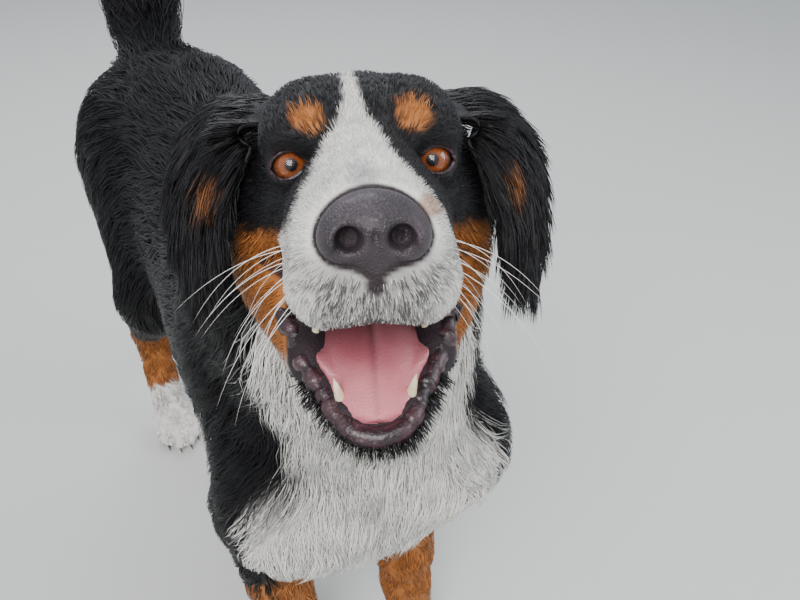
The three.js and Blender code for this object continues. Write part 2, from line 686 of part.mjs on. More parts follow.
// The tongue lies in the lower jaw, widens over the lower canines and ends just behind the chin
const tongueCurve = new THREE.CatmullRomCurve3(
  [[0, 14, -54], [0, -8, -51], [0, -38, -51], [0, -66, -56], [0, -87, -64]].map(
    (p) => new THREE.Vector3(...opened(p)),
  ),
);
const tongueHalfWidth = (t) =>
  t < 0.8 ? mix(20, 29, (t / 0.8) ** 1.5) : 29 * Math.sqrt(1 - ((t - 0.8) / 0.205) ** 2);
function tongue(grown = 0) {
  return leaf(9, 6, (t, u, face) => {
    const forward = tongueCurve.getTangent(t).toArray();
    const centre = add(tongueCurve.getPoint(t).toArray(), times(forward, grown * (2 * t - 1)));
    const up = unit(cross(forward, [-1, 0, 0]));
    const edge = 1 - u * u;
    const curl = 3.5 * u * u - 1.5 * edge - 2.5 * Math.exp(-((u / 0.18) ** 2));
    const thickness = face * (1.4 + 3.6 * Math.sqrt(edge) * (1 - 0.4 * t) + grown);
    return add(add(centre, [u * (tongueHalfWidth(t) + grown), 0, 0]), times(up, curl + thickness));
  });
}

// A tooth is a cone with its root sunk in the gum
function tooth(root, tip, radius) {
  const axis = sub(tip, root);
  const turn = new THREE.Quaternion().setFromUnitVectors(
    new THREE.Vector3(0, 1, 0),
    new THREE.Vector3(...unit(axis)),
  );
  const matrix = new THREE.Matrix4().compose(
    new THREE.Vector3(...mixPoints(root, tip, 0.5)),
    turn,
    new THREE.Vector3(1, 1, 1),
  );
  return solidOf(new THREE.ConeGeometry(radius, length(axis), 5), matrix);
}

// Canines and cheek teeth along the two jaws, from the front to the back
function upperTeeth() {
  const teeth = [];
  for (const s of sides) {
    teeth.push(tooth([s * 19, -82, -36], [s * 20, -84, -66], 5));
    for (let n = 0; n < 3; n++) {
      const [x, y] = [s * (20.5 + n * 2.2), -60 + n * 16];
      teeth.push(tooth([x, y, -36], [x, y, -55], 5.5));
    }
  }
  return teeth;
}

function lowerTeeth() {
  const teeth = [];
  for (const s of sides) {
    teeth.push(tooth(opened([s * 16, -76, -74]), opened([s * 20, -80, -50]), 4.6));
    for (let n = 0; n < 2; n++) {
      const [x, y] = [s * (24 + n * 3), -52 + n * 17];
      teeth.push(tooth(opened([x, y, -72]), opened([x, y, -56]), 4.6));
    }
  }
  return teeth;
}

// Head and lower jaw are cut from one net that is finer round the muzzle and the eyes
const jawCut = { point: mouthCorner, normal: [0, Math.sin(12 * degree), -Math.cos(12 * degree)] };
function wholeHead() {
  const lines = [
    gridLines(-95.5, 96, (x) => (Math.abs(x) < 52 ? 10.6 : 17)),
    gridLines(-128, 175, (y) => (y < 10 ? 11.5 : 22)),
    gridLines(-184, 74, (z) => (z < 22 && z > -24 ? 7.6 : z < -80 ? 14 : 11.2)),
  ];
  return netSurface(headCore, lines);
}

// A solid cut clear of nodes made before it, which are first placed in its frame where that differs
function clearOf(solid, names, place = null) {
  const kept = names.reduce((left, name) => {
    const near = swollen(nodes.get(name).solid, 3 * gap);
    return left.subtract(place ? near.transform(place.elements) : near);
  }, solid);
  return largest(kept);
}

function makeHead() {
  for (const s of sides) node(s > 0 ? "left_eye" : "right_eye", eyeBall(eyeRadius, s), materials.eye, true);
  const noseLines = [gridLines(-28, 28, 4.7), gridLines(-130, -88, 5.2), gridLines(-60, 2, 5)];
  const nosePad = node("nose", netSurface(noseField, noseLines, 2), materials.nose, true);

  const whole = wholeHead();
  const kept = trimmed(whole, reversed(headCut));
  let upper = joined([largest(trimmed(kept, reversed(jawCut))), ...upperTeeth()]);
  upper = upper.subtract(swollen(nosePad));
  for (const s of sides) upper = upper.subtract(eyeBall(eyeRadius + gap + 0.1, s)).subtract(lidOpening(s));
  node("head", largest(upper), materials.blackCoat, true);

  let lower = joined([largest(trimmed(kept, jawCut)), ...lowerTeeth()]);
  const headOut = swollen(nodes.get("head").solid);
  const tongueSolid = node("tongue", largest(tongue().subtract(headOut)), materials.tongue, true);
  lower = lower.subtract(tongue(3 * gap)).subtract(swollen(tongueSolid)).subtract(headOut);
  node("lower_jaw", largest(lower), materials.rustCoat, true);
  return whole;
}

// An ear hangs from the side of the skull, cupped towards the cheek, with a fringe at its edges
const earLength = 118;
const earHalfWidth = (t) => 42 * Math.sin(Math.PI * clamp(0.2 + 0.66 * t)) ** 0.8 * Math.sqrt(1 - t ** 5);
function earPlace(s) {
  const curve = new THREE.CatmullRomCurve3(
    [[50, 64, 38], [80, 64, 34], [103, 60, 6], [111, 54, -32], [108, 48, -72]].map(
      ([x, y, z]) => new THREE.Vector3(s * x, y, z),
    ),
  );
  return (t, u, face) => {
    const centre = curve.getPoint(t).toArray();
    const down = curve.getTangent(t).toArray();
    const back = along([s * 0.62, 1, 0.12], down);
    const out = times(unit(cross(down, back)), s);
    const cup = -9 * u * u * (1 - 0.5 * t);
    const thickness = face * (2.2 + 2.6 * Math.sqrt(Math.max(1 - u * u, 0)) * (1 - 0.3 * t));
    return add(add(centre, times(back, u * earHalfWidth(t))), times(out, cup + thickness));
  };
}

function makeEars(whole) {
  const headOut = swollen(whole, 3 * gap);
  for (const s of sides) {
    const name = s > 0 ? "left_ear" : "right_ear";
    const place = earPlace(s);
    const flap = leaf(5, 4, place);
    const random = drawFrom(s > 0 ? 71 : 72);
    const fringe = [];
    for (let n = 0; n < 6; n++) {
      const t = 0.4 + 0.54 * ((n % 3) / 2);
      const u = n < 3 ? 0.86 : -0.86;
      const root = place(t, u * (1 - 0.4 * t), 0);
      const tip = place(Math.min(1, t + 0.05), u, 0);
      const outwards = unit(add(sub(tip, root), [0, u * 0.25, -14]));
      fringe.push(freeLock(root, outwards, [s, 0, 0.1], 44 * mix(0.85, 1.15, random()), 30));
    }
    node(name, largest(joined([flap, ...fringe]).subtract(headOut)), materials.blackCoat, true);
  }
}

// A lock in free air: from a root along a heading, sagging a little
function freeLock(root, heading, out, reach, width) {
  const positions = [];
  const faces = [0, 1, 2, 0, 2, 3];
  const side = unit(cross(heading, out));
  const top = unit(cross(side, heading));
  lockRings.forEach((t, ring) => {
    const at = add(add(root, times(heading, reach * (t * 1.15 - 0.15))), [0, 0, -0.1 * reach * t * t]);
    if (t === 1) positions.push(...at);
    else {
      const [half, thick] = [(width / 2) * lockWidths[ring], (width / 7) * lockWidths[ring]];
      for (const q of [times(side, half), times(top, thick), times(side, -half), times(top, -thick)])
        positions.push(...add(at, q));
    }
  });
  for (let ring = 0; ring < 2; ring++)
    for (let i = 0; i < 4; i++) {
      const [a, b] = [ring * 4 + i, ring * 4 + ((i + 1) % 4)];
      faces.push(a, a + 4, b, b, a + 4, b + 4);
    }
  for (let i = 0; i < 4; i++) faces.push(8 + i, 12, 8 + ((i + 1) % 4));
  return solidFrom(positions, faces);
}

function netOver(field, low, high, spacing) {
  const steps = Array.isArray(spacing) ? spacing : [spacing, spacing, spacing];
  const lines = steps.map((step, i) => gridLines(low[i], high[i], step));
  return netSurface(field, lines, 2);
}



// How the locks of each part of the coat grow: the room between roots, their reach, width and swing
const lockStyles = {
  neck: { spacing: 92, length: 118, width: 76, swing: 14, cling: 0.5, seed: 11 },
  chest: { spacing: 106, length: 140, width: 92, swing: 12, cling: 0.5, seed: 12 },
  rump: { spacing: 110, length: 120, width: 84, swing: 10, cling: 0.85, seed: 13 },
  thigh: { spacing: 88, length: 96, width: 60, swing: 10, cling: 0.4, seed: 14 },
  tail: { spacing: 70, length: 120, width: 50, swing: 22, cling: 0.2, seed: 15 },
};

// Neck and trunk
function makeTrunk() {
  const neckNet = netOver(neckCore, [-210, -290, 400], [190, 190, 900], [26, 28, 30]);
  const bareNeck = trimmed(neckNet, inBody(headCut), reversed(neckCut));
  const neckGrows = (p) => p[2] < 700 && new THREE.Vector3(...p).applyMatrix4(headInverse).z < -112;
  const neck = withLocks(bareNeck, { ...lockStyles.neck, grows: neckGrows }, reversed(neckCut));
  const overNeck = ["head", "lower_jaw", "left_ear", "right_ear", "tongue"];
  node("neck", clearOf(neck, overNeck, headMatrix), materials.blackCoat);

  const trunkNet = netOver(core, [-240, -290, 190], [240, 790, 760], [32, 46, 32]);
  const ofChest = [neckCut, reversed(rumpCut)];
  const chestGrows = (p) => p[2] > 250 && coatOver(bodyForms, p).depth > 31;
  let chest = withLocks(trimmed(trunkNet, ...ofChest), { ...lockStyles.chest, grows: chestGrows }, ...ofChest);
  for (const s of sides) chest = chest.subtract(foreBox(s, gap));
  node("chest", largest(chest), materials.blackCoat);

  const ofRump = [rumpCut, reversed(tailCut)];
  const rumpGrows = (p) => p[2] > 440 && p[1] > (Math.abs(p[0]) > 70 ? 510 : 420);
  let rump = withLocks(trimmed(trunkNet, ...ofRump), { ...lockStyles.rump, grows: rumpGrows }, ...ofRump);
  for (const s of sides) rump = rump.subtract(thighBox(s, gap));
  node("rump", largest(rump), materials.blackCoat);

  const tailNet = netOver(core, [-120, croupY + 40, 520], [130, croupY + 330, 1000], [24, 26, 38]);
  const tail = { ...lockStyles.tail, grows: () => true };
  const ofBase = [tailCut, reversed(tailMiddle)];
  node("tail_base", withLocks(trimmed(tailNet, ...ofBase), tail, ...ofBase), materials.blackCoat);
  const end = withLocks(trimmed(tailNet, tailCut, tailMiddle), { ...tail, seed: 16 }, tailCut, tailMiddle);
  node("tail_end", end, materials.whiteCoat);
}

function makeLegs() {
  for (const s of sides) {
    const side = s > 0 ? "left" : "right";
    const [inner, outer] = s > 0 ? [-16, 200] : [-200, 16];
    const foreNet = netOver(core, [inner, -130, 60], [outer, 150, 420], [16, 17, 36]);
    const foreLeg = trimmed(foreNet.intersect(foreBox(s, -gap)), above(pasternCut));
    node(`${side}_fore_leg`, largest(foreLeg), materials.rustCoat);
    const foreFoot = netOver(core, [inner, -130, -30], [outer, 60, 120], [13, 17, 17]);
    const forePaw = trimmed(foreFoot, above(-gap / 2), below(pasternCut));
    node(`${side}_fore_paw`, largest(forePaw), materials.whiteCoat);

    const thighNet = netOver(core, [inner, 330, 270], [outer, 760, 480], 28);
    const thighGrows = (p) => p[1] > 440 && p[2] > shankCut + 20 && p[2] < thighTop;
    const boxed = thighNet.intersect(thighBox(s, -gap));
    const thigh = withLocks(boxed, { ...lockStyles.thigh, grows: thighGrows }).intersect(thighBox(s, -gap));
    node(`${side}_thigh`, largest(trimmed(thigh, above(shankCut))), materials.blackCoat);
    const shankNet = netOver(core, [inner, 330, 120], [outer, 700, 340], [16, 19, 30]);
    const shank = trimmed(shankNet.intersect(thighBox(s, -gap)), above(hockCut), below(shankCut));
    node(`${side}_hind_leg`, largest(shank), materials.rustCoat);
    const footLow = [inner, croupY - 100, -30];
    const hindFoot = netOver(core, footLow, [outer, croupY + 130, 200], [13, 17, 19]);
    const hindPaw = trimmed(hindFoot, above(-gap / 2), below(hockCut));
    node(`${side}_hind_paw`, largest(hindPaw), materials.whiteCoat);
  }
}

makeEars(makeHead());
makeTrunk();
makeLegs();

const group = new THREE.Group();
group.name = "bernese_mountain_dog";
const headGroup = new THREE.Group();
headGroup.applyMatrix4(headMatrix);
group.add(headGroup);
for (const [name, { solid, finish, inHead }] of nodes) {
  const mesh = new THREE.Mesh(geometryOf(solid), finish);
  mesh.name = name;
  (inHead ? headGroup : group).add(mesh);
}

// The origin is under the middle of the whole body, on the floor
const box = new THREE.Box3().setFromObject(group, true);
const centre = box.getCenter(new THREE.Vector3());
group.position.set(-centre.x, -centre.y, -box.min.z);
export default group;
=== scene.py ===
import bpy, json, math, time
import numpy as np
import openvdb as vdb
from mathutils import Euler, Matrix, Vector
from mathutils.kdtree import KDTree

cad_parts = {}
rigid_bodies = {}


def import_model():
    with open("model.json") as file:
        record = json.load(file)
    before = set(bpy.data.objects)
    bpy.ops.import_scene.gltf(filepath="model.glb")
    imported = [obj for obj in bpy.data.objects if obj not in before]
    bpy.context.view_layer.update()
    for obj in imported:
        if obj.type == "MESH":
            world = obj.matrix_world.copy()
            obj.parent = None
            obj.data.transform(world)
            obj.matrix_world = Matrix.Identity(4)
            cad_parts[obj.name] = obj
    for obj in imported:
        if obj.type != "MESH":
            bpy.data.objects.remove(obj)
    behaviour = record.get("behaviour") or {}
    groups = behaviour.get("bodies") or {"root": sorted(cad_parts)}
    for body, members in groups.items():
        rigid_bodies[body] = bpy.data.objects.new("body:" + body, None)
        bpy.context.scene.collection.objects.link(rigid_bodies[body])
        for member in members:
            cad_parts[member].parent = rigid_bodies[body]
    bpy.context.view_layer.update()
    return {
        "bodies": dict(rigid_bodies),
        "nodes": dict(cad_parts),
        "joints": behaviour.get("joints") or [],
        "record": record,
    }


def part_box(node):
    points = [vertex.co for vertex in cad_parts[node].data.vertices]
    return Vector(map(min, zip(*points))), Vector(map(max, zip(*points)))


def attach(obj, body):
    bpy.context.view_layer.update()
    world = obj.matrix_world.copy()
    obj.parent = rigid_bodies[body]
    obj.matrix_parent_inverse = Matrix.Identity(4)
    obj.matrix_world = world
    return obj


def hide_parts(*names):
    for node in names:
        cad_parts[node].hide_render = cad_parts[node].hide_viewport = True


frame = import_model()
started = time.time()


def report(stage):
    print(f"{time.time() - started:6.1f} s  {stage}")


# Sizes of the dog in millimetres, the same as its solids have
dog = {
    "withers": 632,
    "chestDepth": 318,
    "chestWidth": 214,
    "foreStance": 158,
    "hindStance": 182,
    "forefootY": -8,
    "croupY": 485,
    "headAt": (-49, -164, 801),
    "headTurn": -24,
    "headRaise": 24,
    "headTilt": -0.5,
    "jawOpening": 25,
    "jawHinge": (0, 62, -36),
    "eyeSpacing": 77,
    "muzzleWidth": 80,
    "skullWidth": 128,
}
elbow = 0.52 * dog["withers"]
hock = 0.3 * dog["withers"]
spine = dog["withers"] - 56  # the back's line, under the skin
ribs = dog["withers"] - dog["chestDepth"] / 2 - 2
croup = dog["croupY"]
sides = (1, -1)

headMatrix = (
    Matrix.Translation(dog["headAt"])
    @ Matrix.Rotation(math.radians(dog["headTurn"]), 4, "Z")
    @ Matrix.Rotation(-math.radians(dog["headRaise"]), 4, "X")
    @ Matrix.Rotation(math.radians(dog["headTilt"]), 4, "Y")
)
headTurned = np.array(headMatrix.to_3x3())
headAt = np.array(dog["headAt"], float)


def headPoint(p):
    return np.asarray(p, float) @ headTurned.T + headAt


def toHead(p):
    return (np.asarray(p, float) - headAt) @ headTurned


# Points of the closed jaw turned about its hinge: down with the opening jaw, or back with a minus sign
def opened(p, sign=1):
    angle = sign * math.radians(dog["jawOpening"])
    hinge = np.array(dog["jawHinge"])
    x, y, z = (np.array(p, float) - hinge).T
    turned = (x, y * math.cos(angle) - z * math.sin(angle), y * math.sin(angle) + z * math.cos(angle))
    return np.stack(turned, -1) + hinge


# The model's middle is set over the origin, and the CAD eye tells by how much
eyeLow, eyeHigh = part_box("left_eye")
eyePlace = headPoint((dog["eyeSpacing"] / 2, 1, 0)) / 1000
shift = np.array((eyeLow + eyeHigh) / 2) - eyePlace
shift[2] = 0


def toWorld(p):
    return np.asarray(p, float) / 1000 + shift


# Camera, fitted to the photograph
view = {"azimuth": -29.4, "elevation": 37.1, "roll": 0.9, "at": (-218, -508, 997), "lens": 35.0}


def makeCamera():
    a, e, r = (math.radians(view[k]) for k in ("azimuth", "elevation", "roll"))
    back = Vector((math.sin(a) * math.cos(e), -math.cos(a) * math.cos(e), math.sin(e)))
    right = Vector((math.cos(a), math.sin(a), 0))
    up = back.cross(right)
    tiltedRight = right * math.cos(r) + up * math.sin(r)
    tiltedUp = up * math.cos(r) - right * math.sin(r)
    data = bpy.data.cameras.new("camera")
    data.sensor_width = 36
    data.lens = view["lens"]
    data.clip_start = 0.02
    camera = bpy.data.objects.new("camera", data)
    bpy.context.scene.collection.objects.link(camera)
    turned = Matrix((tiltedRight, tiltedUp, back)).transposed().to_4x4()
    camera.matrix_world = Matrix.Translation(toWorld(view["at"])) @ turned
    bpy.context.scene.camera = camera


makeCamera()


# Rounded forms: each adds to a distance field only where it can matter
def limb(a, b, ra, rb):
    a, b = np.array(a, float), np.array(b, float)
    axis = b - a

    def distance(p):
        q = p - a
        t = np.clip((q @ axis) / (axis @ axis), 0, 1)
        return np.linalg.norm(q - t[..., None] * axis, axis=-1) - (ra + (rb - ra) * t)

    r = max(ra, rb)
    return distance, np.minimum(a, b) - r, np.maximum(a, b) + r


def egg(centre, radii, turn=(0, 0, 0)):
    c, radii = np.array(centre, float), np.array(radii, float)
    turned = np.array(Euler([math.radians(t) for t in turn]).to_matrix())

    def distance(p):
        q = ((p - c) @ turned) / radii
        k0 = np.linalg.norm(q, axis=-1)
        k1 = np.linalg.norm(q / radii, axis=-1)
        return k0 * (k0 - 1) / np.maximum(k1, 1e-6)

    return distance, c - radii.max(), c + radii.max()


def melt(a, b, blend):
    h = np.maximum(blend - np.abs(a - b), 0) / blend
    return np.minimum(a, b) - h * h * blend * 0.25


bodyForms = []
headForms = []


def unit(v):
    v = np.asarray(v, float)
    return v / np.maximum(np.linalg.norm(v, axis=-1, keepdims=True), 1e-9)


# A form melts into the others over its blend, and has a depth of coat that lies one way
def addForm(forms, shape, blend, coat, lie):
    forms.append({"shape": shape, "blend": blend, "coat": coat, "lie": unit(lie)})


def body(*form):
    addForm(bodyForms, *form)


def head(*form):
    addForm(headForms, *form)


def trunkForms():
    body(egg((0, 125, ribs), (dog["chestWidth"] / 2, 215, dog["chestDepth"] / 2)), 40, 28, (0, 0.85, -0.5))
    body(egg((0, -35, ribs - 22), (82, 88, 112)), 60, 44, (0, 0.12, -1))
    body(limb((0, 40, spine), (0, croup - 40, spine + 2), 52, 52), 50, 26, (0, 1, -0.12))
    body(egg((0, 350, ribs + 18), (88, 150, 110)), 60, 28, (0, 0.9, -0.4))
    body(limb((0, 120, ribs - 78), (0, 400, ribs - 38), 72, 62), 60, 38, (0, 0.75, -0.65))
    body(egg((0, croup, spine - 44), (84, 110, 94)), 60, 30, (0, 0.85, -0.5))
    for s in sides:
        body(limb((s * 54, 45, spine - 8), (s * 78, -70, 432), 42, 46), 50, 24, (0, 0.4, -0.9))
        body(limb((s * 80, -68, 428), (s * 84, 24, elbow + 6), 45, 35), 40, 20, (0, 0.35, -0.95))
        body(limb((s * 42, croup + 60, 545), (s * 48, croup + 82, 462), 46, 38), 50, 44, (0, 0.35, -0.95))


hockY = croup + 72


def hindLegForms(s):
    x = s * dog["hindStance"] / 2
    body(limb((s * 48, croup + 5, 512), (s * 82, croup - 68, 352), 72, 46), 50, 22, (0, 0.35, -0.95))
    body(limb((s * 56, croup + 62, 480), (s * 80, croup + 8, 335), 50, 30), 45, 40, (0, 0.3, -1))
    body(limb((s * 86, croup - 60, 330), (x, hockY - 8, hock + 4), 42, 22), 34, 13, (0, 0.5, -0.85))
    body(limb((s * 86, croup + 34, 275), (x, hockY + 8, hock + 8), 15, 11), 22, 26, (0, 0.4, -0.9))
    body(limb((x, hockY, hock - 18), (x, hockY - 28, 52), 21, 21), 20, 9, (0, 0.05, -1))
    pawForms(s, paws["hind"])


def foreLegForms(s):
    x = s * dog["foreStance"] / 2
    y = dog["forefootY"]
    body(limb((s * 86, 16, elbow - 6), (x, y + 6, 165), 38, 26), 34, 12, (0, 0.12, -1))
    body(limb((s * 86, 42, elbow - 2), (x, 20, 200), 20, 14), 26, 30, (0, 0.4, -0.9))
    body(limb((x, y + 4, 158), (x, y + 2, 112), 26, 25), 20, 8, (0, 0, -1))
    body(limb((x, y + 2, 105), (x, y - 18, 48), 24, 25), 20, 7, (0, -0.1, -1))
    pawForms(s, paws["fore"])


# Where each paw stands beside the middle and along the body, its scale, and its toes across and ahead
paws = {
    "fore": (dog["foreStance"] / 2, dog["forefootY"] - 36, 1),
    "hind": (dog["hindStance"] / 2, hockY - 56, 0.94),
}
toes = ((-25, 24), (-9, 40), (9, 40), (25, 24))


def pawForms(s, paw):
    x, y, scale = s * paw[0], paw[1], paw[2]
    body(egg((x, y + 2, 24 * scale), (35 * scale, 38 * scale, 26 * scale)), 16, 6, (0, -0.7, -0.7))
    for across, reach in toes:
        at = (x + s * across * scale, y - reach * scale, 19 * scale)
        body(egg(at, (12.5 * scale, 24 * scale, 17 * scale), (8, 0, 0)), 7, 5, (0, -0.8, -0.6))


def neckForms():
    root = (0, 24, dog["withers"] - 92)
    middle = (-12, -46, dog["withers"] + 4)
    top = headPoint((0, 84, -42))
    throat = headPoint((0, 56, -78))
    body(limb(root, middle, 92, 76), 60, 38, (0, 0.45, -0.9))
    body(limb(middle, top, 76, 50), 50, 32, (0.05, 0.5, -0.85))
    body(limb((-6, -66, dog["withers"] - 76), throat, 58, 40), 50, 42, (0, 0.1, -1))


# The tail's line, from its root to its tip
tailPoints = (
    (0, croup + 78, 592),
    (6, croup + 146, 632),
    (22, croup + 194, 704),
    (38, croup + 208, 792),
    (48, croup + 190, 872),
)


# A smooth curve through the points
def smoothCurve(points, count):
    p = np.array(points, float)
    p = np.vstack([2 * p[0] - p[1], p, 2 * p[-1] - p[-2]])
    spans = len(p) - 3
    t = np.linspace(0, spans, count)
    i = np.minimum(t.astype(int), spans - 1)
    u = (t - i)[:, None]
    a, b, c, d = p[i], p[i + 1], p[i + 2], p[i + 3]
    bent = (2 * a - 5 * b + 4 * c - d) * u**2
    return 0.5 * (2 * b + (c - a) * u + bent + (3 * b - a - 3 * c + d) * u**3)


def tailForms():
    steps, rootRadius, tipRadius = 8, 25, 9
    line = smoothCurve(tailPoints, steps + 1)
    for i in range(steps):
        radii = [rootRadius + (tipRadius - rootRadius) * t / steps for t in (i, i + 1)]
        lie = unit(line[i + 1] - line[i]) + (0, 0.1, -0.1)
        coat = 34 + 20 * math.sin(i / steps * math.pi)
        body(limb(line[i], line[i + 1], *radii), 12 if i else 40, coat, lie)


# Skull, brows, cheeks and muzzle, in the head's own frame
def headTopForms():
    half = dog["muzzleWidth"] / 2
    head(egg((0, 70, 4), (dog["skullWidth"] / 2 - 3, 70, 44)), 20, 7, (0, 1, 0.1))
    head(egg((0, 110, -2), (38, 30, 32)), 24, 14, (0, 1, -0.4))
    head(limb((0, -22, -6), (0, -90, -21), 26, 18), 20, 3, (0, 1, 0.15))
    head(egg((0, -98, -46), (22, 13, 17)), 12, 3, (0, 0.3, -1))
    for s in sides:
        head(egg((s * 24, 18, 17), (29, 34, 27)), 16, 6, (s * 0.2, 0.9, 0.45))
        head(egg((s * 35, -3, 16), (17, 13, 10), (0, s * 18, 0)), 10, 5, (s * 0.4, 0.6, 0.6))
        head(limb((s * 40, 4, -25), (s * 54, 60, -20), 15, 25), 22, 6, (s * 0.2, 0.9, -0.3))
        head(egg((s * 46, 62, -42), (24, 42, 34)), 24, 15, (s * 0.1, 0.8, -0.6))
        head(limb((s * 19, -15, -24), (s * 14, -84, -30), 24, 20), 18, 4, (s * 0.2, 1, -0.1))
        flew = limb((s * (half - 14), -24, -43), (s * (half - 20), -82, -50), 15, 19)
        head(flew, 12, 4, (s * 0.1, 0.6, -0.7))


def jawForms():
    lie = (0, 0.9, -0.4)
    head(egg(opened((0, -79, -74)), (20, 15, 11), (dog["jawOpening"], 0, 0)), 10, 4, (0, 0.4, -0.9))
    head(limb(opened((0, -58, -80)), opened((0, 34, -80)), 10, 24), 20, 8, lie)
    for s in sides:
        head(limb(opened((s * 16, -78, -68)), opened((s * 34, -40, -62)), 8, 9), 8, 4, lie)
        head(limb(opened((s * 34, -40, -62)), opened((s * 40, 0, -56)), 9, 13), 12, 6, lie)
        head(limb(opened((s * 36, -5, -64)), opened((s * 42, 42, -56)), 14, 23), 20, 9, lie)


trunkForms()
for s in sides:
    hindLegForms(s)
    foreLegForms(s)
neckForms()
tailForms()
headTopForms()
jawForms()

# The open mouth: a wedge between the lips of both jaws, the vault of the palate and the jaw's trough
mouthCorner = np.array((0, 10, -52), float)


# The upper lip's edge sinks towards the front and is drawn up at the middle
def lipLine(x, y):
    return -50 - 24 * np.clip((14 - y) / 94, 0, 1) * (1 - 0.45 * np.exp(-((x / 11) ** 2)))


def mouth(p):
    x, y, z = p[..., 0], p[..., 1], p[..., 2]
    lower = math.radians(dog["jawOpening"] + 2)
    overJaw = -(z - mouthCorner[2]) * math.cos(lower) + (y - mouthCorner[1]) * math.sin(lower)
    wedge = np.maximum.reduce([z - lipLine(x, y), overJaw, y - mouthCorner[1]])
    inside = np.abs(x) - np.clip(21 + 12 * (y + 90) / 100, 21, 33)
    vault = np.maximum.reduce([inside, z + 43, -76 - z, -92 - y, y - 40])
    trough = np.maximum.reduce([inside + 4, overJaw - 10, z + 45, y - 40, -(y + 80)])
    return np.minimum.reduce([wedge, vault, trough])


# The opening between the lids, as a distance from two arcs in the plane across the line of sight
lids = {"half": 10.6, "rise": 8.2, "drop": 7.0, "turn": 8}
eyeRadius = 11.8


def eyeFrame(s):
    turned = Matrix.Rotation(math.radians(s * lids["turn"]), 3, "Z")
    return np.array(turned), np.array((s * dog["eyeSpacing"] / 2, 1, 0))


def lidEdge(s, p):
    turned, centre = eyeFrame(s)
    q = (p - centre) @ turned
    across, up = q[..., 0] * s, q[..., 2] - 0.09 * q[..., 0] * s
    edges = []
    for rise, sign in ((lids["rise"], 1), (lids["drop"], -1)):
        radius = (lids["half"] ** 2 + rise**2) / (2 * rise)
        edges.append(np.hypot(across + sign, up - sign * (rise - radius)) - radius)
    return np.maximum(*edges), q[..., 1]


def eyeHollows(d, p):
    for s in sides:
        hollow = egg((s * dog["eyeSpacing"] / 2 + s, -20, -1), (15, 11, 9))[0](p)
        d = -melt(-d, hollow, 10)
        d = melt(d, egg((s * dog["eyeSpacing"] / 2, 0.5, 0), (14, 13.4, 12.6))[0](p), 3)
        opening, depth = lidEdge(s, p)
        d = np.maximum(d, -np.maximum(opening, depth))
    return d


# Fields on an even grid: the distance to the bare forms, the coat's depth and its lie
def makeField(forms, low, high, voxel):
    low = np.array(low, float)
    shape = np.ceil((np.array(high) - low) / voxel).astype(int) + 1
    d = np.full(shape, 90, np.float32)
    total = np.full(shape, 1e-6, np.float32)
    coat = np.zeros(shape, np.float32)
    lie = np.zeros((*shape, 3), np.float32)
    for form in forms:
        distance, near, far = form["shape"]
        reach = form["blend"] + 45
        start = np.clip(np.floor((near - reach - low) / voxel).astype(int), 0, shape)
        end = np.clip(np.ceil((far + reach - low) / voxel).astype(int) + 1, 0, shape)
        if (end <= start).any():
            continue
        block = tuple(slice(a, b) for a, b in zip(start, end))
        lines = [low[i] + voxel * np.arange(start[i], end[i]) for i in range(3)]
        here = distance(np.stack(np.meshgrid(*lines, indexing="ij"), -1)).astype(np.float32)
        d[block] = melt(d[block], here, form["blend"])
        weight = np.exp(-np.maximum(here + 20, 0) / 14)
        total[block] += weight
        coat[block] += weight * form["coat"]
        lie[block] += weight[..., None] * form["lie"]
    return {"low": low, "voxel": voxel, "shape": shape, "bare": d, "coat": coat / total, "lie": lie}


def gridPoints(field):
    lines = [field["low"][i] + field["voxel"] * np.arange(field["shape"][i]) for i in range(3)]
    return np.stack(np.meshgrid(*lines, indexing="ij"), -1)


def sample(field, name, p):
    grid = field[name]
    q = np.clip((p - field["low"]) / field["voxel"], 0, np.array(field["shape"]) - 1.001)
    cell = q.astype(int)
    part = q - cell
    result = 0
    for corner in range(8):
        offset = np.array([(corner >> n) & 1 for n in range(3)])
        weight = np.prod(np.where(offset, part, 1 - part), axis=1)
        value = grid[tuple((cell + offset).T)]
        result = result + (weight[:, None] * value if value.ndim > 1 else weight * value)
    return result


def slope(field, name, p, step):
    parts = [sample(field, name, p + e) - sample(field, name, p - e) for e in np.eye(3) * step]
    return unit(np.stack(parts, 1))


# Skins: the bare forms raised by a share of the coat's depth
skinShare = 0.3
voxels = {"body": 5.0, "head": 1.7}

bodyField = makeField(bodyForms, (-170, -290, -12), (170, 775, 950), voxels["body"])
bodyField["raised"] = bodyField["bare"] - skinShare * bodyField["coat"]
report("body field")

headField = makeField(headForms, (-104, -134, -196), (104, 186, 84), voxels["head"])


# How far a point of the head's frame lies behind the line where the head's skin dives under the neck's
def behindHead(p):
    return (p[..., 1] - 96) * 0.8 - (p[..., 2] + 20) * 0.6


def joinSkins():
    grid = gridPoints(headField)
    own = headField["bare"] - skinShare * headField["coat"]
    flat = headPoint(grid.reshape(-1, 3))
    near = (own.reshape(-1) < 60) | (behindHead(grid).reshape(-1) > -90)
    neck = np.full(len(flat), 60, np.float32)
    neck[near] = sample(bodyField, "raised", flat[near])
    neck = neck.reshape(own.shape)
    raised = melt(eyeHollows(own, grid), neck, 30)
    headField["blended"] = raised
    dive = np.clip((behindHead(grid) - 20) / 25, 0, 1) * 9
    headField["raised"] = np.maximum(raised, -mouth(grid)) + dive
    spread = np.exp(-np.maximum(neck - own, -60) / 14)
    share = spread / (1 + spread)
    share[neck > 40] = 0
    lie = sample(bodyField, "lie", flat).reshape(grid.shape)
    coat = sample(bodyField, "coat", flat).reshape(own.shape)
    headField["lie"] += share[..., None] * (unit(lie) @ headTurned - headField["lie"])
    headField["coat"] += share * (coat - headField["coat"])


joinSkins()
report("head field")


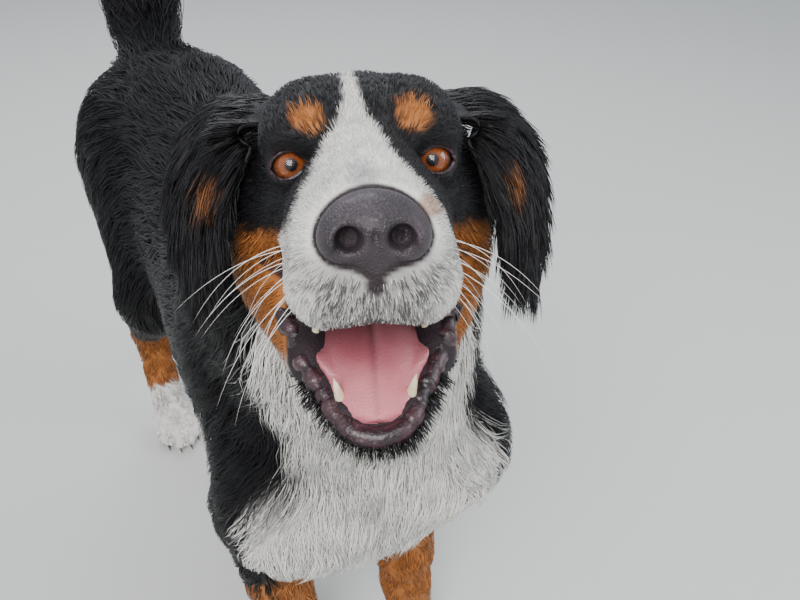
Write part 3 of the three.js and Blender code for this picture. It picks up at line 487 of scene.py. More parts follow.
# Markings: the tricolour coat as soft-edged regions, with edges that wander like hair does
coats = {
    "black": (0.0060, 0.0056, 0.0074),
    "white": (0.86, 0.835, 0.79),
    "rust": (0.42, 0.145, 0.034),
    "lip": (0.022, 0.012, 0.016),
    "palate": (0.16, 0.045, 0.050),
    "grey": (0.07, 0.066, 0.07),
    "salt": (0.34, 0.33, 0.34),
    "tan": (0.46, 0.25, 0.16),
}


def wander(p, size, seed=0):
    turns = np.random.default_rng(seed).normal(0, 1, (5, 3)) / size
    phases = np.arange(5) * 1.7 + seed
    return sum(np.sin(p @ turn + phase) for turn, phase in zip(turns, phases)) / 3


def soften(distance, width):
    t = np.clip(0.5 - distance / width, 0, 1)
    return t * t * (3 - 2 * t)


def paint(tint, name, amount):
    tint += np.clip(amount, 0, 1)[:, None] * (np.array(coats[name]) - tint)


# The white of the chest and throat: at each height its edges in degrees round the neck, and the
# place of the neck's axis. It ends above the foot's height.
bib = {
    "heights": (430, 470, 500, 540, 575, 610, 650, 700, 740),
    "right": (52, 50, 39, 35, 40, 48, 52, 52, 50),
    "left": (34, 36, 34, 34, 35, 36, 34, 34, 34),
    "axis": (5, 3, 0, -4, -17, -36, -54, -70, -84),
    "middle": (0, 0, 0, -3, -8, -13, -20, -26, -30),
    "foot": 312,
    "radius": 105,
}


# How far a point lies outside the white bib, which is measured by its angle round the neck
def outsideBib(x, y, z):
    middle = np.interp(z, bib["heights"], bib["middle"])
    axis = np.interp(z, bib["heights"], bib["axis"])
    angle = np.degrees(np.arctan2(x - middle, axis - y))
    left = angle - np.interp(z, bib["heights"], bib["left"])
    right = -angle - np.interp(z, bib["heights"], bib["right"])
    return np.maximum(np.radians(np.maximum(left, right)) * bib["radius"], bib["foot"] - z)


# Markings of the body: heights, and places aside and along, in millimetres
marks = {
    "foreRust": 285,
    "hindRust": 330,
    "outer": 86,  # beyond this the fore legs' rust ends lower
    "shank": {"inner": 88, "foot": 215, "back": 562},
    "spot": {"aside": 96, "height": 392, "radius": 26},
    "jowl": {"foot": 106, "along": 2, "half": 50, "aside": 34},
    "underTail": {"aside": 4, "along": 610, "radius": 40, "top": 560},
    "foreSock": 84,
    "hindSock": 92,
    "tailTip": 815,
}


def bodyTint(p):
    x, y, z = p.T
    tint = np.tile(np.array(coats["black"]), (len(p), 1))
    edge = wander(p, 26, 3) * 9 + wander(p, 9, 4) * 4
    fore = np.abs(y) < 120
    outer = np.abs(x) - marks["outer"]
    rusty = z - marks["foreRust"] + 0.9 * np.maximum(outer + 20, 0)
    rusty = np.maximum(rusty, np.where(fore, -1, 1) * 50)
    paint(tint, "rust", soften(rusty + edge, 16))
    hind = (y > 300) * 1.0
    shank = marks["shank"]
    behind = np.maximum(z - shank["foot"], y - shank["back"])
    shank = np.maximum(z - marks["hindRust"], np.minimum(np.abs(x) - shank["inner"], behind))
    paint(tint, "rust", hind * soften(shank + edge, 16))
    spot = marks["spot"]
    disc = np.hypot(np.abs(x) - spot["aside"], z - spot["height"]) - spot["radius"]
    paint(tint, "rust", soften(np.maximum(disc, y + 30) + edge, 12))
    paint(tint, "white", soften(outsideBib(x, y, z) + 1.3 * edge, 12))
    q, jowl = toHead(p), marks["jowl"]
    along = np.abs(q[:, 1] - jowl["along"]) - jowl["half"]
    jowl = np.maximum.reduce([-q[:, 2] - jowl["foot"], along, jowl["aside"] - np.abs(q[:, 0])])
    paint(tint, "rust", soften(jowl + edge * 0.6, 10) * (z > 560))
    socks = np.where(y > 300, marks["hindSock"], marks["foreSock"])
    paint(tint, "white", soften(z - socks + edge * 0.6, 12))
    patch = marks["underTail"]
    away = np.hypot(x - patch["aside"], (y - patch["along"]) * 0.7) - patch["radius"]
    paint(tint, "rust", soften(away + np.maximum(z - patch["top"], 0), 20) * (z < 600))
    paint(tint, "white", soften(marks["tailTip"] - z + edge, 20) * (y > 560))
    return tint


# Half the width of the white, from the flews up to the blaze on the forehead
blaze = {
    "heights": (-42, -34, -27.6, -16.5, -7, 3, 14, 25.7, 38, 60, 90),
    "halves": (62, 44, 37, 31.7, 26.5, 19.4, 12.3, 6, 4.6, 3.6, 2),
}


# Spots of the head: where they lie beside the middle and in height, and their radius
faceMarks = {
    "brow": (27, 24, 7.4),
    "cheek": {"top": -32, "back": 66, "aside": 90},
    "salt": (-3, -1, 6),
    "tan": (25, -14, 4.5),
}


# Hair takes its pepper under the nose at random, and the skin below it takes an even share
def headTint(q, rng=None):
    x, y, z = q.T
    wide = np.abs(x)
    tint = np.tile(np.array(coats["black"]), (len(q), 1))
    edge = wander(q, 9, 7) * 1.2 + wander(q, 3.2, 8) * 0.8
    cheek = faceMarks["cheek"]
    top = z - cheek["top"] + 0.1 * np.maximum(y, 0)
    cheek = np.maximum.reduce([top, y - cheek["back"], wide - cheek["aside"]])
    paint(tint, "rust", soften(cheek + 1.4 * edge, 6))
    aside, height, radius = faceMarks["brow"]
    brow = np.hypot((wide - aside) / 1.08, z - height) - radius
    paint(tint, "rust", soften(brow + edge, 5) * (y < 16))
    middle = np.interp(z, (-30, 38), (-2, -5))
    white = np.abs(x - middle) - np.interp(z, blaze["heights"], blaze["halves"])
    white = np.maximum.reduce([white, y - 92, np.where(z < -26, y + 16, -99)])
    paint(tint, "white", soften(white + edge, 4))
    below = np.abs(x) * 0.7 - 17 - 0.35 * (z + 58)
    philtrum = soften(np.maximum(below, z + 34) + 2 * edge, 20) * (y < -64)
    pepper = 0.6 if rng is None else (rng.random(len(q)) < 0.72) * 0.95
    paint(tint, "grey", philtrum * pepper)
    aside, height, radius = faceMarks["salt"]
    paint(tint, "salt", 0.5 * soften(np.hypot(x - aside, z - height) - radius, 6) * (y < -60))
    aside, height, radius = faceMarks["tan"]
    tan = np.hypot(x - aside, z - height) - radius
    paint(tint, "tan", 0.8 * soften(tan + edge, 4) * (y < -88))
    closed = opened(q, -1)
    jaw = soften(-underLip(q), 2) * (y < 60)
    paint(tint, "rust", jaw * soften(-closed[:, 1] - 46 + 2 * edge, 10))
    chin = jaw * soften(closed[:, 1] + 46 + 2 * edge, 10)
    paint(tint, "white", chin)
    paint(tint, "black", chin * soften(-closed[:, 2] - 86 + 2 * edge, 5))
    return tint


# Bare of hair inside the lower lip: higher on the jaw than the lip's course
jawRim = {"along": (-96, -72, -52, -30, -10, 10), "heights": (-72, -67, -62, -56.5, -53, -50)}


def insideLip(q):
    closed = opened(q, -1)
    over = closed[:, 2] - np.interp(closed[:, 1], jawRim["along"], jawRim["heights"])
    return np.minimum.reduce([over, underLip(q), 46 - np.abs(q[:, 0]), 12 - closed[:, 1]])


# How far a point lies below the middle of the open mouth
def underLip(q):
    middle = math.radians(12)
    return (q - mouthCorner) @ np.array((0, math.sin(middle), -math.cos(middle)))


# The nose pad narrows below its two wings to the groove of the lip
def noseForm(p):
    d = egg((0, -108, -19), (20.5, 15, 13.5))[0](p)
    for s in sides:
        d = melt(d, egg((s * 14, -109, -25), (10, 14, 10))[0](p), 6)
    d = melt(d, limb((0, -102.5, -28), (0, -107, -43.5), 21, 4.5)[0](p), 6)
    return melt(d, limb((0, -109, -45), (0, -107, -51), 2.4, 1.4)[0](p), 2)


# What is bare of coat on the head: the lips, the mouth's inside, and the rims of the lids
def bareTint(q, tint):
    near = mouth(q)
    lipWidth = np.where(underLip(q) > 0, 7.5, 2.2)
    paint(tint, "lip", soften(near - lipWidth, 2.5))
    paint(tint, "lip", soften(noseForm(q) - 2.5, 2))
    paint(tint, "lip", soften(-insideLip(q), 2.5))
    inside = np.abs(q[:, 0]) - 24
    deep = soften(np.maximum(inside, near - 1.5), 3) * (q[:, 1] > -78)
    paint(tint, "palate", deep)
    for s in sides:
        opening, depth = lidEdge(s, q)
        paint(tint, "lip", soften(opening - 1.6, 1.6) * (depth < 0) * (depth > -22))
    return tint


# Meshes made straight from arrays of triangles, with a tint and other values at their points
def addMesh(name, points, faces, values=None, smooth=True):
    mesh = bpy.data.meshes.new(name)
    mesh.vertices.add(len(points))
    mesh.vertices.foreach_set("co", np.ascontiguousarray(points, np.float32).ravel())
    mesh.loops.add(faces.size)
    mesh.loops.foreach_set("vertex_index", faces.astype(np.int32).ravel())
    mesh.polygons.add(len(faces))
    mesh.polygons.foreach_set("loop_start", np.arange(len(faces), dtype=np.int32) * faces.shape[1])
    mesh.polygons.foreach_set("use_smooth", np.full(len(faces), smooth))
    for key, value in (values or {}).items():
        if value.ndim == 2:
            colour = np.ones((len(value), 4), np.float32)
            colour[:, :3] = value
            layer = mesh.color_attributes.new(key, "FLOAT_COLOR", "POINT")
            layer.data.foreach_set("color", colour.ravel())
        else:
            layer = mesh.attributes.new(key, "FLOAT", "POINT")
            layer.data.foreach_set("value", value.astype(np.float32))
    mesh.update()
    mesh.validate()
    piece = bpy.data.objects.new(name, mesh)
    bpy.context.scene.collection.objects.link(piece)
    return piece


# The surface where a grid crosses zero, in the grid's own millimetres, its faces turned outward
def surfaceOf(values, low, voxel):
    closed = values.copy()
    for axis in range(3):
        edge = [slice(None)] * 3
        for end in (0, -1):
            edge[axis] = end
            closed[tuple(edge)] = 3
    grid = vdb.FloatGrid(9.0)
    grid.copyFromArray(np.clip(closed, -9, 9).astype(np.float32))
    points, triangles, quads = grid.convertToPolygons(0.0, 0.0)
    halves = [triangles, quads[:, (0, 1, 2)], quads[:, (0, 2, 3)]]
    faces = np.vstack([half for half in halves if len(half)]).astype(np.int64)
    points = points.astype(float) * voxel + low
    a, b, c = (points[faces[:, n]] for n in range(3))
    if np.einsum("ij,ij->i", a, np.cross(b, c)).sum() < 0:
        faces = faces[:, ::-1]
    return points, faces


# Materials
def newMaterial(name):
    made = bpy.data.materials.new(name)
    made.use_nodes = True
    return made, made.node_tree.nodes, made.node_tree.links, made.node_tree.nodes["Principled BSDF"]


def setInputs(node, values):
    for key, value in values.items():
        node.inputs[key].default_value = value


def addBump(nodes, links, shader, height, distance):
    bump = nodes.new("ShaderNodeBump")
    setInputs(bump, {"Strength": 1, "Distance": distance})
    links.new(height, bump.inputs["Height"])
    links.new(bump.outputs["Normal"], shader.inputs["Normal"])


def addNoise(nodes, links, scale, detail):
    noise = nodes.new("ShaderNodeTexNoise")
    setInputs(noise, {"Scale": scale, "Detail": detail})
    links.new(nodes.new("ShaderNodeTexCoord").outputs["Object"], noise.inputs["Vector"])
    return noise.outputs["Fac"]


def addAttribute(nodes, name):
    attribute = nodes.new("ShaderNodeAttribute")
    attribute.attribute_name = name
    return attribute


def coatMaterial(name, look):
    made, nodes, links, shader = newMaterial(name)
    spread = nodes.new("ShaderNodeMapRange")
    setInputs(spread, {"To Min": 0.72, "To Max": 1.28})
    links.new(addNoise(nodes, links, look["patches"], 3), spread.inputs["Value"])
    mixed = nodes.new("ShaderNodeVectorMath")
    mixed.operation = "SCALE"
    links.new(addAttribute(nodes, "tint").outputs["Color"], mixed.inputs[0])
    links.new(spread.outputs["Result"], mixed.inputs["Scale"])
    links.new(mixed.outputs["Vector"], shader.inputs["Base Color"])
    addBump(nodes, links, shader, addNoise(nodes, links, look["grain"], 2), look["depth"])
    setInputs(shader, {"Roughness": look["roughness"], "Specular IOR Level": look["specular"]})
    return made


# Patches and grain are noise scales, and depth is that of the grain
hairLook = {"patches": 45, "grain": 1400, "depth": 0.0003, "roughness": 0.46, "specular": 0.3}
hair = coatMaterial("hair", hairLook)
hide = coatMaterial("hide", {**hairLook, "grain": 700, "depth": 0.0006, "roughness": 0.62})


def finishPiece(piece, material, *slot):
    piece.data.materials.append(material)
    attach(piece, "root")


# The skin of the body and that of the head, one inside the other where they join
def makeSkin():
    grid = gridPoints(bodyField)
    q = toHead(grid.reshape(-1, 3)).reshape(grid.shape)
    dive = np.clip((8 - behindHead(q)) / 25, 0, 1) * 9 * (q[..., 1] > -60)
    points, faces = surfaceOf(bodyField["raised"] + dive, bodyField["low"], bodyField["voxel"])
    headPoints, headFaces = surfaceOf(headField["raised"], headField["low"], headField["voxel"])
    headColour = bareTint(headPoints, headTint(headPoints))
    behind = behindHead(headPoints)
    blend = soften(-(behind - 5), 25)[:, None]
    placed = headPoint(headPoints)
    headColour = headColour * (1 - blend) + bodyTint(placed) * blend
    tint = np.vstack([bodyTint(points), headColour])
    allPoints = np.vstack([points, placed])
    allPoints[:, 2] = np.maximum(allPoints[:, 2], 0.6)
    allFaces = np.vstack([faces, headFaces + len(points)])
    skin = addMesh("skin", toWorld(allPoints), allFaces, {"tint": tint * 0.8})
    flesh = ["head", "lower_jaw", "neck", "chest", "rump", "tail_base", "tail_end"]
    legs = ("fore_leg", "fore_paw", "thigh", "hind_leg", "hind_paw")
    flesh += [f"{side}_{part}" for side in ("left", "right") for part in legs]
    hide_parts(*flesh)
    finishPiece(skin, hide, "black_coat")
    print(len(faces), "body faces,", len(headFaces), "head faces")
    return (points, faces), (headPoints, headFaces)


bodySkin, headSkin = makeSkin()
report("skin")


# Coat: tufts of hair, each a thin closed strip that leaves the skin and follows the coat's lie
def skinRoots(points, faces, density, rng):
    a, b, c = (points[faces[:, n]] for n in range(3))
    area = np.linalg.norm(np.cross(b - a, c - a), axis=1) / 2
    weight = area * density((a + b + c) / 3)
    count = int(weight.sum())
    picks = rng.choice(len(faces), count, p=weight / weight.sum())
    u = np.sqrt(rng.random(count))[:, None]
    v = rng.random(count)[:, None]
    return a[picks] * (1 - u) + b[picks] * u * (1 - v) + c[picks] * u * v


def growTufts(field, roots, style, rng):
    count, rings = len(roots), style["rings"]
    coat = sample(field, "coat", roots)
    length = (style["least"] + style["reach"] * coat) * rng.uniform(0.7, 1.25, count)
    turn = np.radians(rng.normal(0, style["swing"], count))[:, None]
    height = coat * style["stand"] * rng.uniform(0.45, 1.1, count)
    p = roots
    heading = None
    path, outs = [], []
    for ring in range(rings):
        t = ring / (rings - 1)
        out = slope(field, "raised", p, style["probe"])
        lie = sample(field, "lie", p)
        lie = unit(lie - (lie * out).sum(1, keepdims=True) * out)
        wanted = lie * np.cos(turn) + np.cross(out, lie) * np.sin(turn)
        heading = wanted if heading is None else unit(heading * 0.4 + wanted * 0.6)
        rise = height * t**0.75 - (1.5 if ring == 0 else 0)
        path.append(p + out * rise[:, None])
        outs.append(out)
        p = p + heading * (length / (rings - 1))[:, None]
        p = p - slope(field, "raised", p, style["probe"]) * sample(field, "raised", p)[:, None]
    return np.stack(path, 1), np.stack(outs, 1)


# Neighbouring tufts lean together into locks, and each lock waves in its own way
def gatherTufts(paths, outs, style, rng):
    count, rings = paths.shape[:2]
    guides = rng.choice(count, max(count // style["strands"], 1), replace=False)
    tree = KDTree(len(guides))
    for n, guide in enumerate(guides):
        tree.insert(paths[guide, 0], n)
    tree.balance()
    nearest = np.array([tree.find(p)[1] for p in paths[:, 0]])
    t = np.linspace(0, 1, rings)
    pull = style["gather"] * t**1.3 * rng.uniform(0.6, 1.1, (count, 1))
    paths = paths + pull[..., None] * (paths[guides][nearest] - paths)
    along = np.gradient(paths, axis=1)
    across = unit(np.cross(along, outs))
    phase = rng.uniform(0, 6.28, len(guides))[nearest, None]
    length = np.linalg.norm(np.diff(paths, axis=1), axis=2).sum(1)[:, None]
    swing = np.sin(t * length / style["wave"] * 6.28 + phase) - np.sin(phase)
    return paths + across * (style["sway"] * t * swing)[..., None]


# Rows of tufts made into one mesh, with the place of each root on an unwrap of the skin
def tuftPiece(name, paths, outs, widths, tint, unwrapped, rng):
    count, rings = paths.shape[:2]
    along = unit(np.gradient(paths, axis=1))
    across = unit(np.cross(along, outs))
    up = np.cross(across, along)
    profile = np.interp(np.linspace(0, 1, rings), (0, 0.3, 0.7, 1), (0.6, 1, 0.7, 0))
    half = 0.5 * widths[:, None, None] * profile[None, :, None]
    centre = paths[:, :-1]
    corners = [
        centre - across[:, :-1] * half[:, :-1],
        centre + across[:, :-1] * half[:, :-1],
        centre + up[:, :-1] * half[:, :-1] * 0.7,
    ]
    body = np.stack(corners, 2).reshape(count, (rings - 1) * 3, 3)
    points = np.concatenate([body, paths[:, -1:]], 1)
    each = points.shape[1]
    faces = [(0, 2, 1)]
    for ring in range(rings - 2):
        for n in range(3):
            a, b = ring * 3 + n, ring * 3 + (n + 1) % 3
            faces += [(a, b, a + 3), (b, b + 3, a + 3)]
    last = (rings - 2) * 3
    faces += [(last + n, last + (n + 1) % 3, each - 1) for n in range(3)]
    faces = (np.array(faces)[None] + (np.arange(count) * each)[:, None, None]).reshape(-1, 3)
    level = np.repeat(np.linspace(0, 1, rings), [3] * (rings - 1) + [1])
    # Each tuft's colour varies at random, and painted shade darkens it towards its root, deep in the coat
    toneAndRootShade = rng.lognormal(0, 0.16, (count, 1)) * (0.62 + 0.5 * level)[None]
    pale = np.clip((tint.mean(1, keepdims=True) - 0.25) / 0.4, 0, 1)
    toneAndRootShade = 1 + (toneAndRootShade - 1) * (1 - 0.66 * pale)
    colour = (tint[:, None] * toneAndRootShade[..., None]).reshape(-1, 3)
    piece = addMesh(name, toWorld(points.reshape(-1, 3)), faces, {"tint": np.clip(colour, 0, 0.95)})
    sideways = np.tile([0, 0.002, 0.001], rings - 1).tolist() + [0.001]
    patch = np.stack([np.array(sideways), level * 0.003], 1)
    places = (unwrapped[:, None] * 0.99 + patch[None]).reshape(-1, 2)
    layer = piece.data.uv_layers.new(name="OFBake")
    layer.data.foreach_set("uv", places[faces.ravel()].astype(np.float32).ravel())
    return piece


# The skin unrolled round an axis: how far along it, and at what angle
def unroll(p, axis, centre, span):
    a, b = [n for n in range(3) if n != axis]
    angle = np.arctan2(p[:, a] - centre[0], p[:, b] - centre[1]) / (2 * math.pi) + 0.5
    return np.stack([angle, np.clip((p[:, axis] - span[0]) / (span[1] - span[0]), 0, 1)], 1)


# Rings and width of a tuft, its least length and how much of the coat's depth is added to it, the swing
# of its heading in degrees, how far it stands off, and tufts per square millimetre
styleKeys = ("rings", "least", "reach", "swing", "stand", "density", "width")
bodyStyles = {
    "ruff": (5, 26, 1.1, 12, 0.42, 0.068, 1.1),
    "trunk": (4, 30, 1.0, 9, 0.34, 0.035, 2.0),
    "rump": (4, 26, 1.1, 10, 0.36, 0.03, 2.1),
    "tail": (5, 56, 1.7, 20, 0.85, 0.055, 1.7),
    "legs": (3, 9, 1.2, 9, 0.4, 0.085, 1.8),
}
lockStyle = {"probe": 5, "strands": 22, "gather": 0.62, "wave": 62, "sway": 3.4}
bodyStyles = {name: dict(zip(styleKeys, row)) | lockStyle for name, row in bodyStyles.items()}
bodyStyles["ruff"] |= {"strands": 30, "gather": 0.72, "sway": 4.2}

# Where the coat's pieces part, along the body and up it
borders = {"ruffBack": 40, "ruffFoot": 330, "trunkBack": 340, "trunkFoot": 270, "rumpFoot": 300}
borders |= {"tailFront": 590, "tailFoot": 600, "middle": -8}


def inRuff(y, z):
    return (y < borders["ruffBack"]) & (z > borders["ruffFoot"])


def inTrunk(y, z):
    return (y >= borders["ruffBack"]) & (y < borders["trunkBack"]) & (z > borders["trunkFoot"])


def inTail(y, z):
    return (y > borders["tailFront"]) & (z > borders["tailFoot"])


def behindTrunk(y):
    return y >= borders["trunkBack"]


bodyRegions = {
    "ruff_left": lambda x, y, z: inRuff(y, z) & (x > borders["middle"]),
    "ruff_right": lambda x, y, z: inRuff(y, z) & (x <= borders["middle"]),
    "trunk": lambda x, y, z: inTrunk(y, z),
    "rump": lambda x, y, z: behindTrunk(y) & (z > borders["rumpFoot"]) & ~inTail(y, z),
    "tail": lambda x, y, z: inTail(y, z),
    "legs_fore": lambda x, y, z: ~behindTrunk(y) & ~inRuff(y, z) & ~inTrunk(y, z),
    "legs_hind": lambda x, y, z: behindTrunk(y) & (z <= borders["rumpFoot"]),
}


# Points of the body that the head's skin hides
def insideHead(p):
    q = toHead(p)
    low = headField["low"]
    within = ((q > low) & (q < low + headField["voxel"] * (headField["shape"] - 1))).all(1)
    hidden = np.zeros(len(p), bool)
    hidden[within] = sample(headField, "raised", q[within]) < 1
    return hidden


# Each piece of coat is unrolled round its own axis, the legs side by side
def unwrapBody(name, p):
    if name.startswith("ruff"):
        return unroll(p, 2, (-10, -10), (300, 760))
    if name.startswith("legs"):
        x = (np.abs(p[:, 0]) - 85) * np.sign(p[:, 0])
        flat = unroll(np.stack([x, p[:, 1], p[:, 2]], 1), 2, (0, 0 if name == "legs_fore" else 540), (0, 340))
        flat[:, 0] = flat[:, 0] / 2 + 0.5 * (p[:, 0] > 0)
        return flat
    if name == "tail":
        return unroll(p, 2, (25, 680), (560, 960))
    return unroll(p, 1, (0, 470), (30, 620))


def makeBodyCoat():
    for seed, (name, region) in enumerate(bodyRegions.items()):
        rng = np.random.default_rng(100 + seed)
        style = bodyStyles[name.split("_")[0]]
        roots = skinRoots(*bodySkin, lambda p: region(*p.T) * style["density"], rng)
        roots = roots[~insideHead(roots)]
        roots = roots[roots[:, 2] > 6]
        paths, outs = growTufts(bodyField, roots, style, rng)
        paths = gatherTufts(paths, outs, style, rng)
        paths[..., 2] = np.maximum(paths[..., 2], 2)
        widths = style["width"] * rng.uniform(0.6, 1.3, len(roots))
        unwrapped = unwrapBody(name, roots)
        piece = tuftPiece(f"coat_{name}", paths, outs, widths, bodyTint(roots), unwrapped, rng)
        finishPiece(piece, hair, "white_coat" if name.startswith("ruff") else "black_coat")
        print(piece.name, len(piece.data.polygons))


# The short coat of the head, with the same entries as the body's
headStyle = {"rings": 3, "least": 5.2, "reach": 0.85, "swing": 8, "stand": 0.34, "probe": 2.2}
headStyle |= {"strands": 10, "gather": 0.3, "wave": 40, "sway": 0.5}


# Where hair grows on the head: not at the lips, the nose, the lids or inside the neck
def furOnHead(q):
    grows = (mouth(q) > np.where(underLip(q) > 0, 7, 1.2)) & (noseForm(q) > 0.9)
    for s in sides:
        opening, depth = lidEdge(s, q)
        grows &= (opening > 1.7) | (depth > 0) | (depth < -30)
    return grows & (behindHead(q) < 22) & (insideLip(q) < 0)


def makeHeadCoat():
    halves = {"coat_head_left": 1, "coat_head_right": -1}
    for seed, (name, s) in enumerate(halves.items()):
        rng = np.random.default_rng(200 + seed)

        def density(q):
            front = np.clip((30 - q[:, 1]) / 60, 0, 1)
            return (q[:, 0] * s > 0) * furOnHead(q) * (0.18 + 0.27 * front)

        roots = skinRoots(*headSkin, density, rng)
        roots = roots[furOnHead(roots)]
        paths, outs = growTufts(headField, roots, headStyle, rng)
        paths = gatherTufts(paths, outs, headStyle, rng)
        size = np.interp(roots[:, 1], (-90, 0, 60), (0.42, 0.6, 0.95))
        widths = size * rng.uniform(0.7, 1.3, len(roots))
        unwrapped = unroll(roots, 1, (0, -30), (-130, 180))
        turned = outs @ headTurned.T
        piece = tuftPiece(name, headPoint(paths), turned, widths, headTint(roots, rng), unwrapped, rng)
        finishPiece(piece, hair, "black_coat")
        print(piece.name, len(piece.data.polygons))


makeBodyCoat()
makeHeadCoat()
report("coat")


# A round bar through points, with a radius at each and both ends closed, or joined into a ring
def barMesh(name, path, radii, around, ring=False):
    path, radii = np.array(path, float), np.array(radii, float)
    count = len(path)
    if ring:
        along = unit(np.roll(path, -1, 0) - np.roll(path, 1, 0))
    else:
        along = unit(np.gradient(path, axis=0))
    across = unit(np.cross(along, (0.13, 0.31, 1.0)))
    up = np.cross(across, along)
    angles = np.linspace(0, 2 * math.pi, around, endpoint=False)
    rims = across[:, None] * np.cos(angles)[None, :, None] + up[:, None] * np.sin(angles)[None, :, None]
    points = (path[:, None] + rims * radii[:, None, None]).reshape(-1, 3)
    faces = []
    for i in range(count if ring else count - 1):
        for j in range(around):
            a, b = i * around + j, i * around + (j + 1) % around
            c, d = ((i + 1) % count) * around + j, ((i + 1) % count) * around + (j + 1) % around
            faces += [(a, b, c), (b, d, c)]
    if not ring:
        points = np.vstack([points, path[:1], path[-1:]])
        for j in range(around):
            last = (count - 1) * around
            faces += [(count * around, (j + 1) % around, j)]
            faces += [(count * around + 1, last + j, last + (j + 1) % around)]
    return addMesh(name, toWorld(headPoint(points)), turnedOut(points, np.array(faces)))


# The same faces, turned round where they would face inward
def turnedOut(points, faces):
    a, b, c = (points[faces[:, n]] - points.mean(0) for n in range(3))
    return faces if np.einsum("ij,ij->i", a, np.cross(b, c)).sum() > 0 else faces[:, ::-1]


# Wet and leathery materials: the base colour varies in clouds and a bump gives the grain
def wetMaterial(name, look):
    made, nodes, links, shader = newMaterial(name)
    if look["cells"]:
        grain = nodes.new("ShaderNodeTexVoronoi")
        grain.feature = "DISTANCE_TO_EDGE"
        setInputs(grain, {"Scale": look["scale"]})
        links.new(nodes.new("ShaderNodeTexCoord").outputs["Object"], grain.inputs["Vector"])
        height = grain.outputs["Distance"]
    else:
        height = addNoise(nodes, links, look["scale"], 4)
    addBump(nodes, links, shader, height, look["depth"])
    ramp = nodes.new("ShaderNodeValToRGB")
    for stop, position, shade in zip(ramp.color_ramp.elements, (0.34, 0.68), ("dark", "light")):
        stop.position = position
        stop.color = (*look[shade], 1)
    links.new(addNoise(nodes, links, look["clouds"], 4), ramp.inputs["Fac"])
    colour = ramp.outputs["Color"]
    if look["tinted"]:
        mixed = nodes.new("ShaderNodeVectorMath")
        mixed.operation = "MULTIPLY"
        links.new(colour, mixed.inputs[0])
        links.new(addAttribute(nodes, "tint").outputs["Color"], mixed.inputs[1])
        colour = mixed.outputs[0]
    links.new(colour, shader.inputs["Base Color"])
    setInputs(
        shader,
        {
            "Roughness": look["roughness"],
            "Coat Weight": look["wet"],
            "Coat Roughness": 0.16,
            "Subsurface Weight": look["soft"],
            "Subsurface Radius": (0.004, 0.0015, 0.001),
        },
    )
    return made


# cells, scale and depth of the grain; clouds, dark and light of the colour; roughness, wet and soft; tinted
wetLooks = {
    "nose_leather": (True, 620, 0.0009, 60, (0.016, 0.011, 0.015), (0.046, 0.032, 0.041), 0.55, 0.12, 0),
    "lip_skin": (False, 260, 0.0016, 90, (0.008, 0.004, 0.006), (0.060, 0.022, 0.030), 0.4, 0.32, 0),
    "tongue_skin": (False, 900, 0.0005, 30, (0.50, 0.125, 0.160), (0.64, 0.20, 0.235), 0.46, 0.3, 0.12, True),
    "enamel": (False, 200, 0.0001, 160, (0.62, 0.48, 0.27), (0.84, 0.77, 0.62), 0.25, 0.5, 0.05),
    "horn": (False, 500, 0.0002, 120, (0.02, 0.016, 0.014), (0.09, 0.075, 0.06), 0.4, 0.2, 0),
    "whisker": (False, 300, 0.00001, 200, (0.78, 0.76, 0.72), (0.93, 0.92, 0.90), 0.4, 0, 0),
}
wetKeys = ("cells", "scale", "depth", "clouds", "dark", "light", "roughness", "wet", "soft", "tinted")
leather, lipSkin, tongueSkin, enamel, horn, whiskerHorn = (
    wetMaterial(name, dict(zip(wetKeys, (*look, False)))) for name, look in wetLooks.items()
)


# Eyes: a ball with its iris and pupil painted round the line of sight, under a clear cornea.
# Radii and the cornea's dome in millimetres, and its edge as an angle from the line of sight.
eyeLook = {"pupil": 3.4, "iris": 9.0, "ring": 10.3, "dome": 1.2, "edge": 0.62}


def eyeGrid(radius, bulge, rings, around):
    lines = np.linspace(0, math.pi, rings + 1)
    turns = np.linspace(0, 2 * math.pi, around, endpoint=False)
    r = radius + bulge * np.exp(-((lines / eyeLook["edge"]) ** 2))
    across = (r * np.sin(lines))[1:-1]
    ahead = (r * np.cos(lines))[1:-1]
    rim = np.stack([across[:, None] * np.cos(turns), across[:, None] * np.sin(turns)], -1)
    middle = np.concatenate([rim, np.broadcast_to(ahead[:, None, None], (*rim.shape[:2], 1))], -1)
    points = np.vstack([middle.reshape(-1, 3), (0, 0, r[0]), (0, 0, -r[-1])])
    faces = []
    for i in range(rings - 2):
        for j in range(around):
            a, b = i * around + j, i * around + (j + 1) % around
            faces += [(a, a + around, b), (b, a + around, b + around)]
    front, rear = len(points) - 2, len(points) - 1
    for j in range(around):
        k = (j + 1) % around
        last = (rings - 2) * around
        faces += [(front, j, k), (rear, last + k, last + j)]
    return points, turnedOut(points, np.array(faces))


def eyeMaterials():
    ball, nodes, links, shader = newMaterial("eye_ball")
    links.new(addAttribute(nodes, "tint").outputs["Color"], shader.inputs["Base Color"])
    values = {"Roughness": 0.4, "Specular IOR Level": 0.2, "Coat Weight": 0.12, "Coat Roughness": 0.1}
    setInputs(shader, values)
    clear, nodes, links, shader = newMaterial("cornea")
    nodes.remove(shader)
    see = nodes.new("ShaderNodeBsdfTransparent")
    shine = nodes.new("ShaderNodeBsdfGlossy")
    setInputs(shine, {"Roughness": 0.03})
    edge = nodes.new("ShaderNodeFresnel")
    setInputs(edge, {"IOR": 1.5})
    both = nodes.new("ShaderNodeMixShader")
    share = nodes.new("ShaderNodeMath")
    share.operation = "MULTIPLY"
    links.new(edge.outputs["Fac"], share.inputs[0])
    links.new(addAttribute(nodes, "shine").outputs["Fac"], share.inputs[1])
    links.new(share.outputs[0], both.inputs[0])
    links.new(see.outputs["BSDF"], both.inputs[1])
    links.new(shine.outputs["BSDF"], both.inputs[2])
    links.new(both.outputs["Shader"], nodes["Material Output"].inputs["Surface"])
    return ball, clear


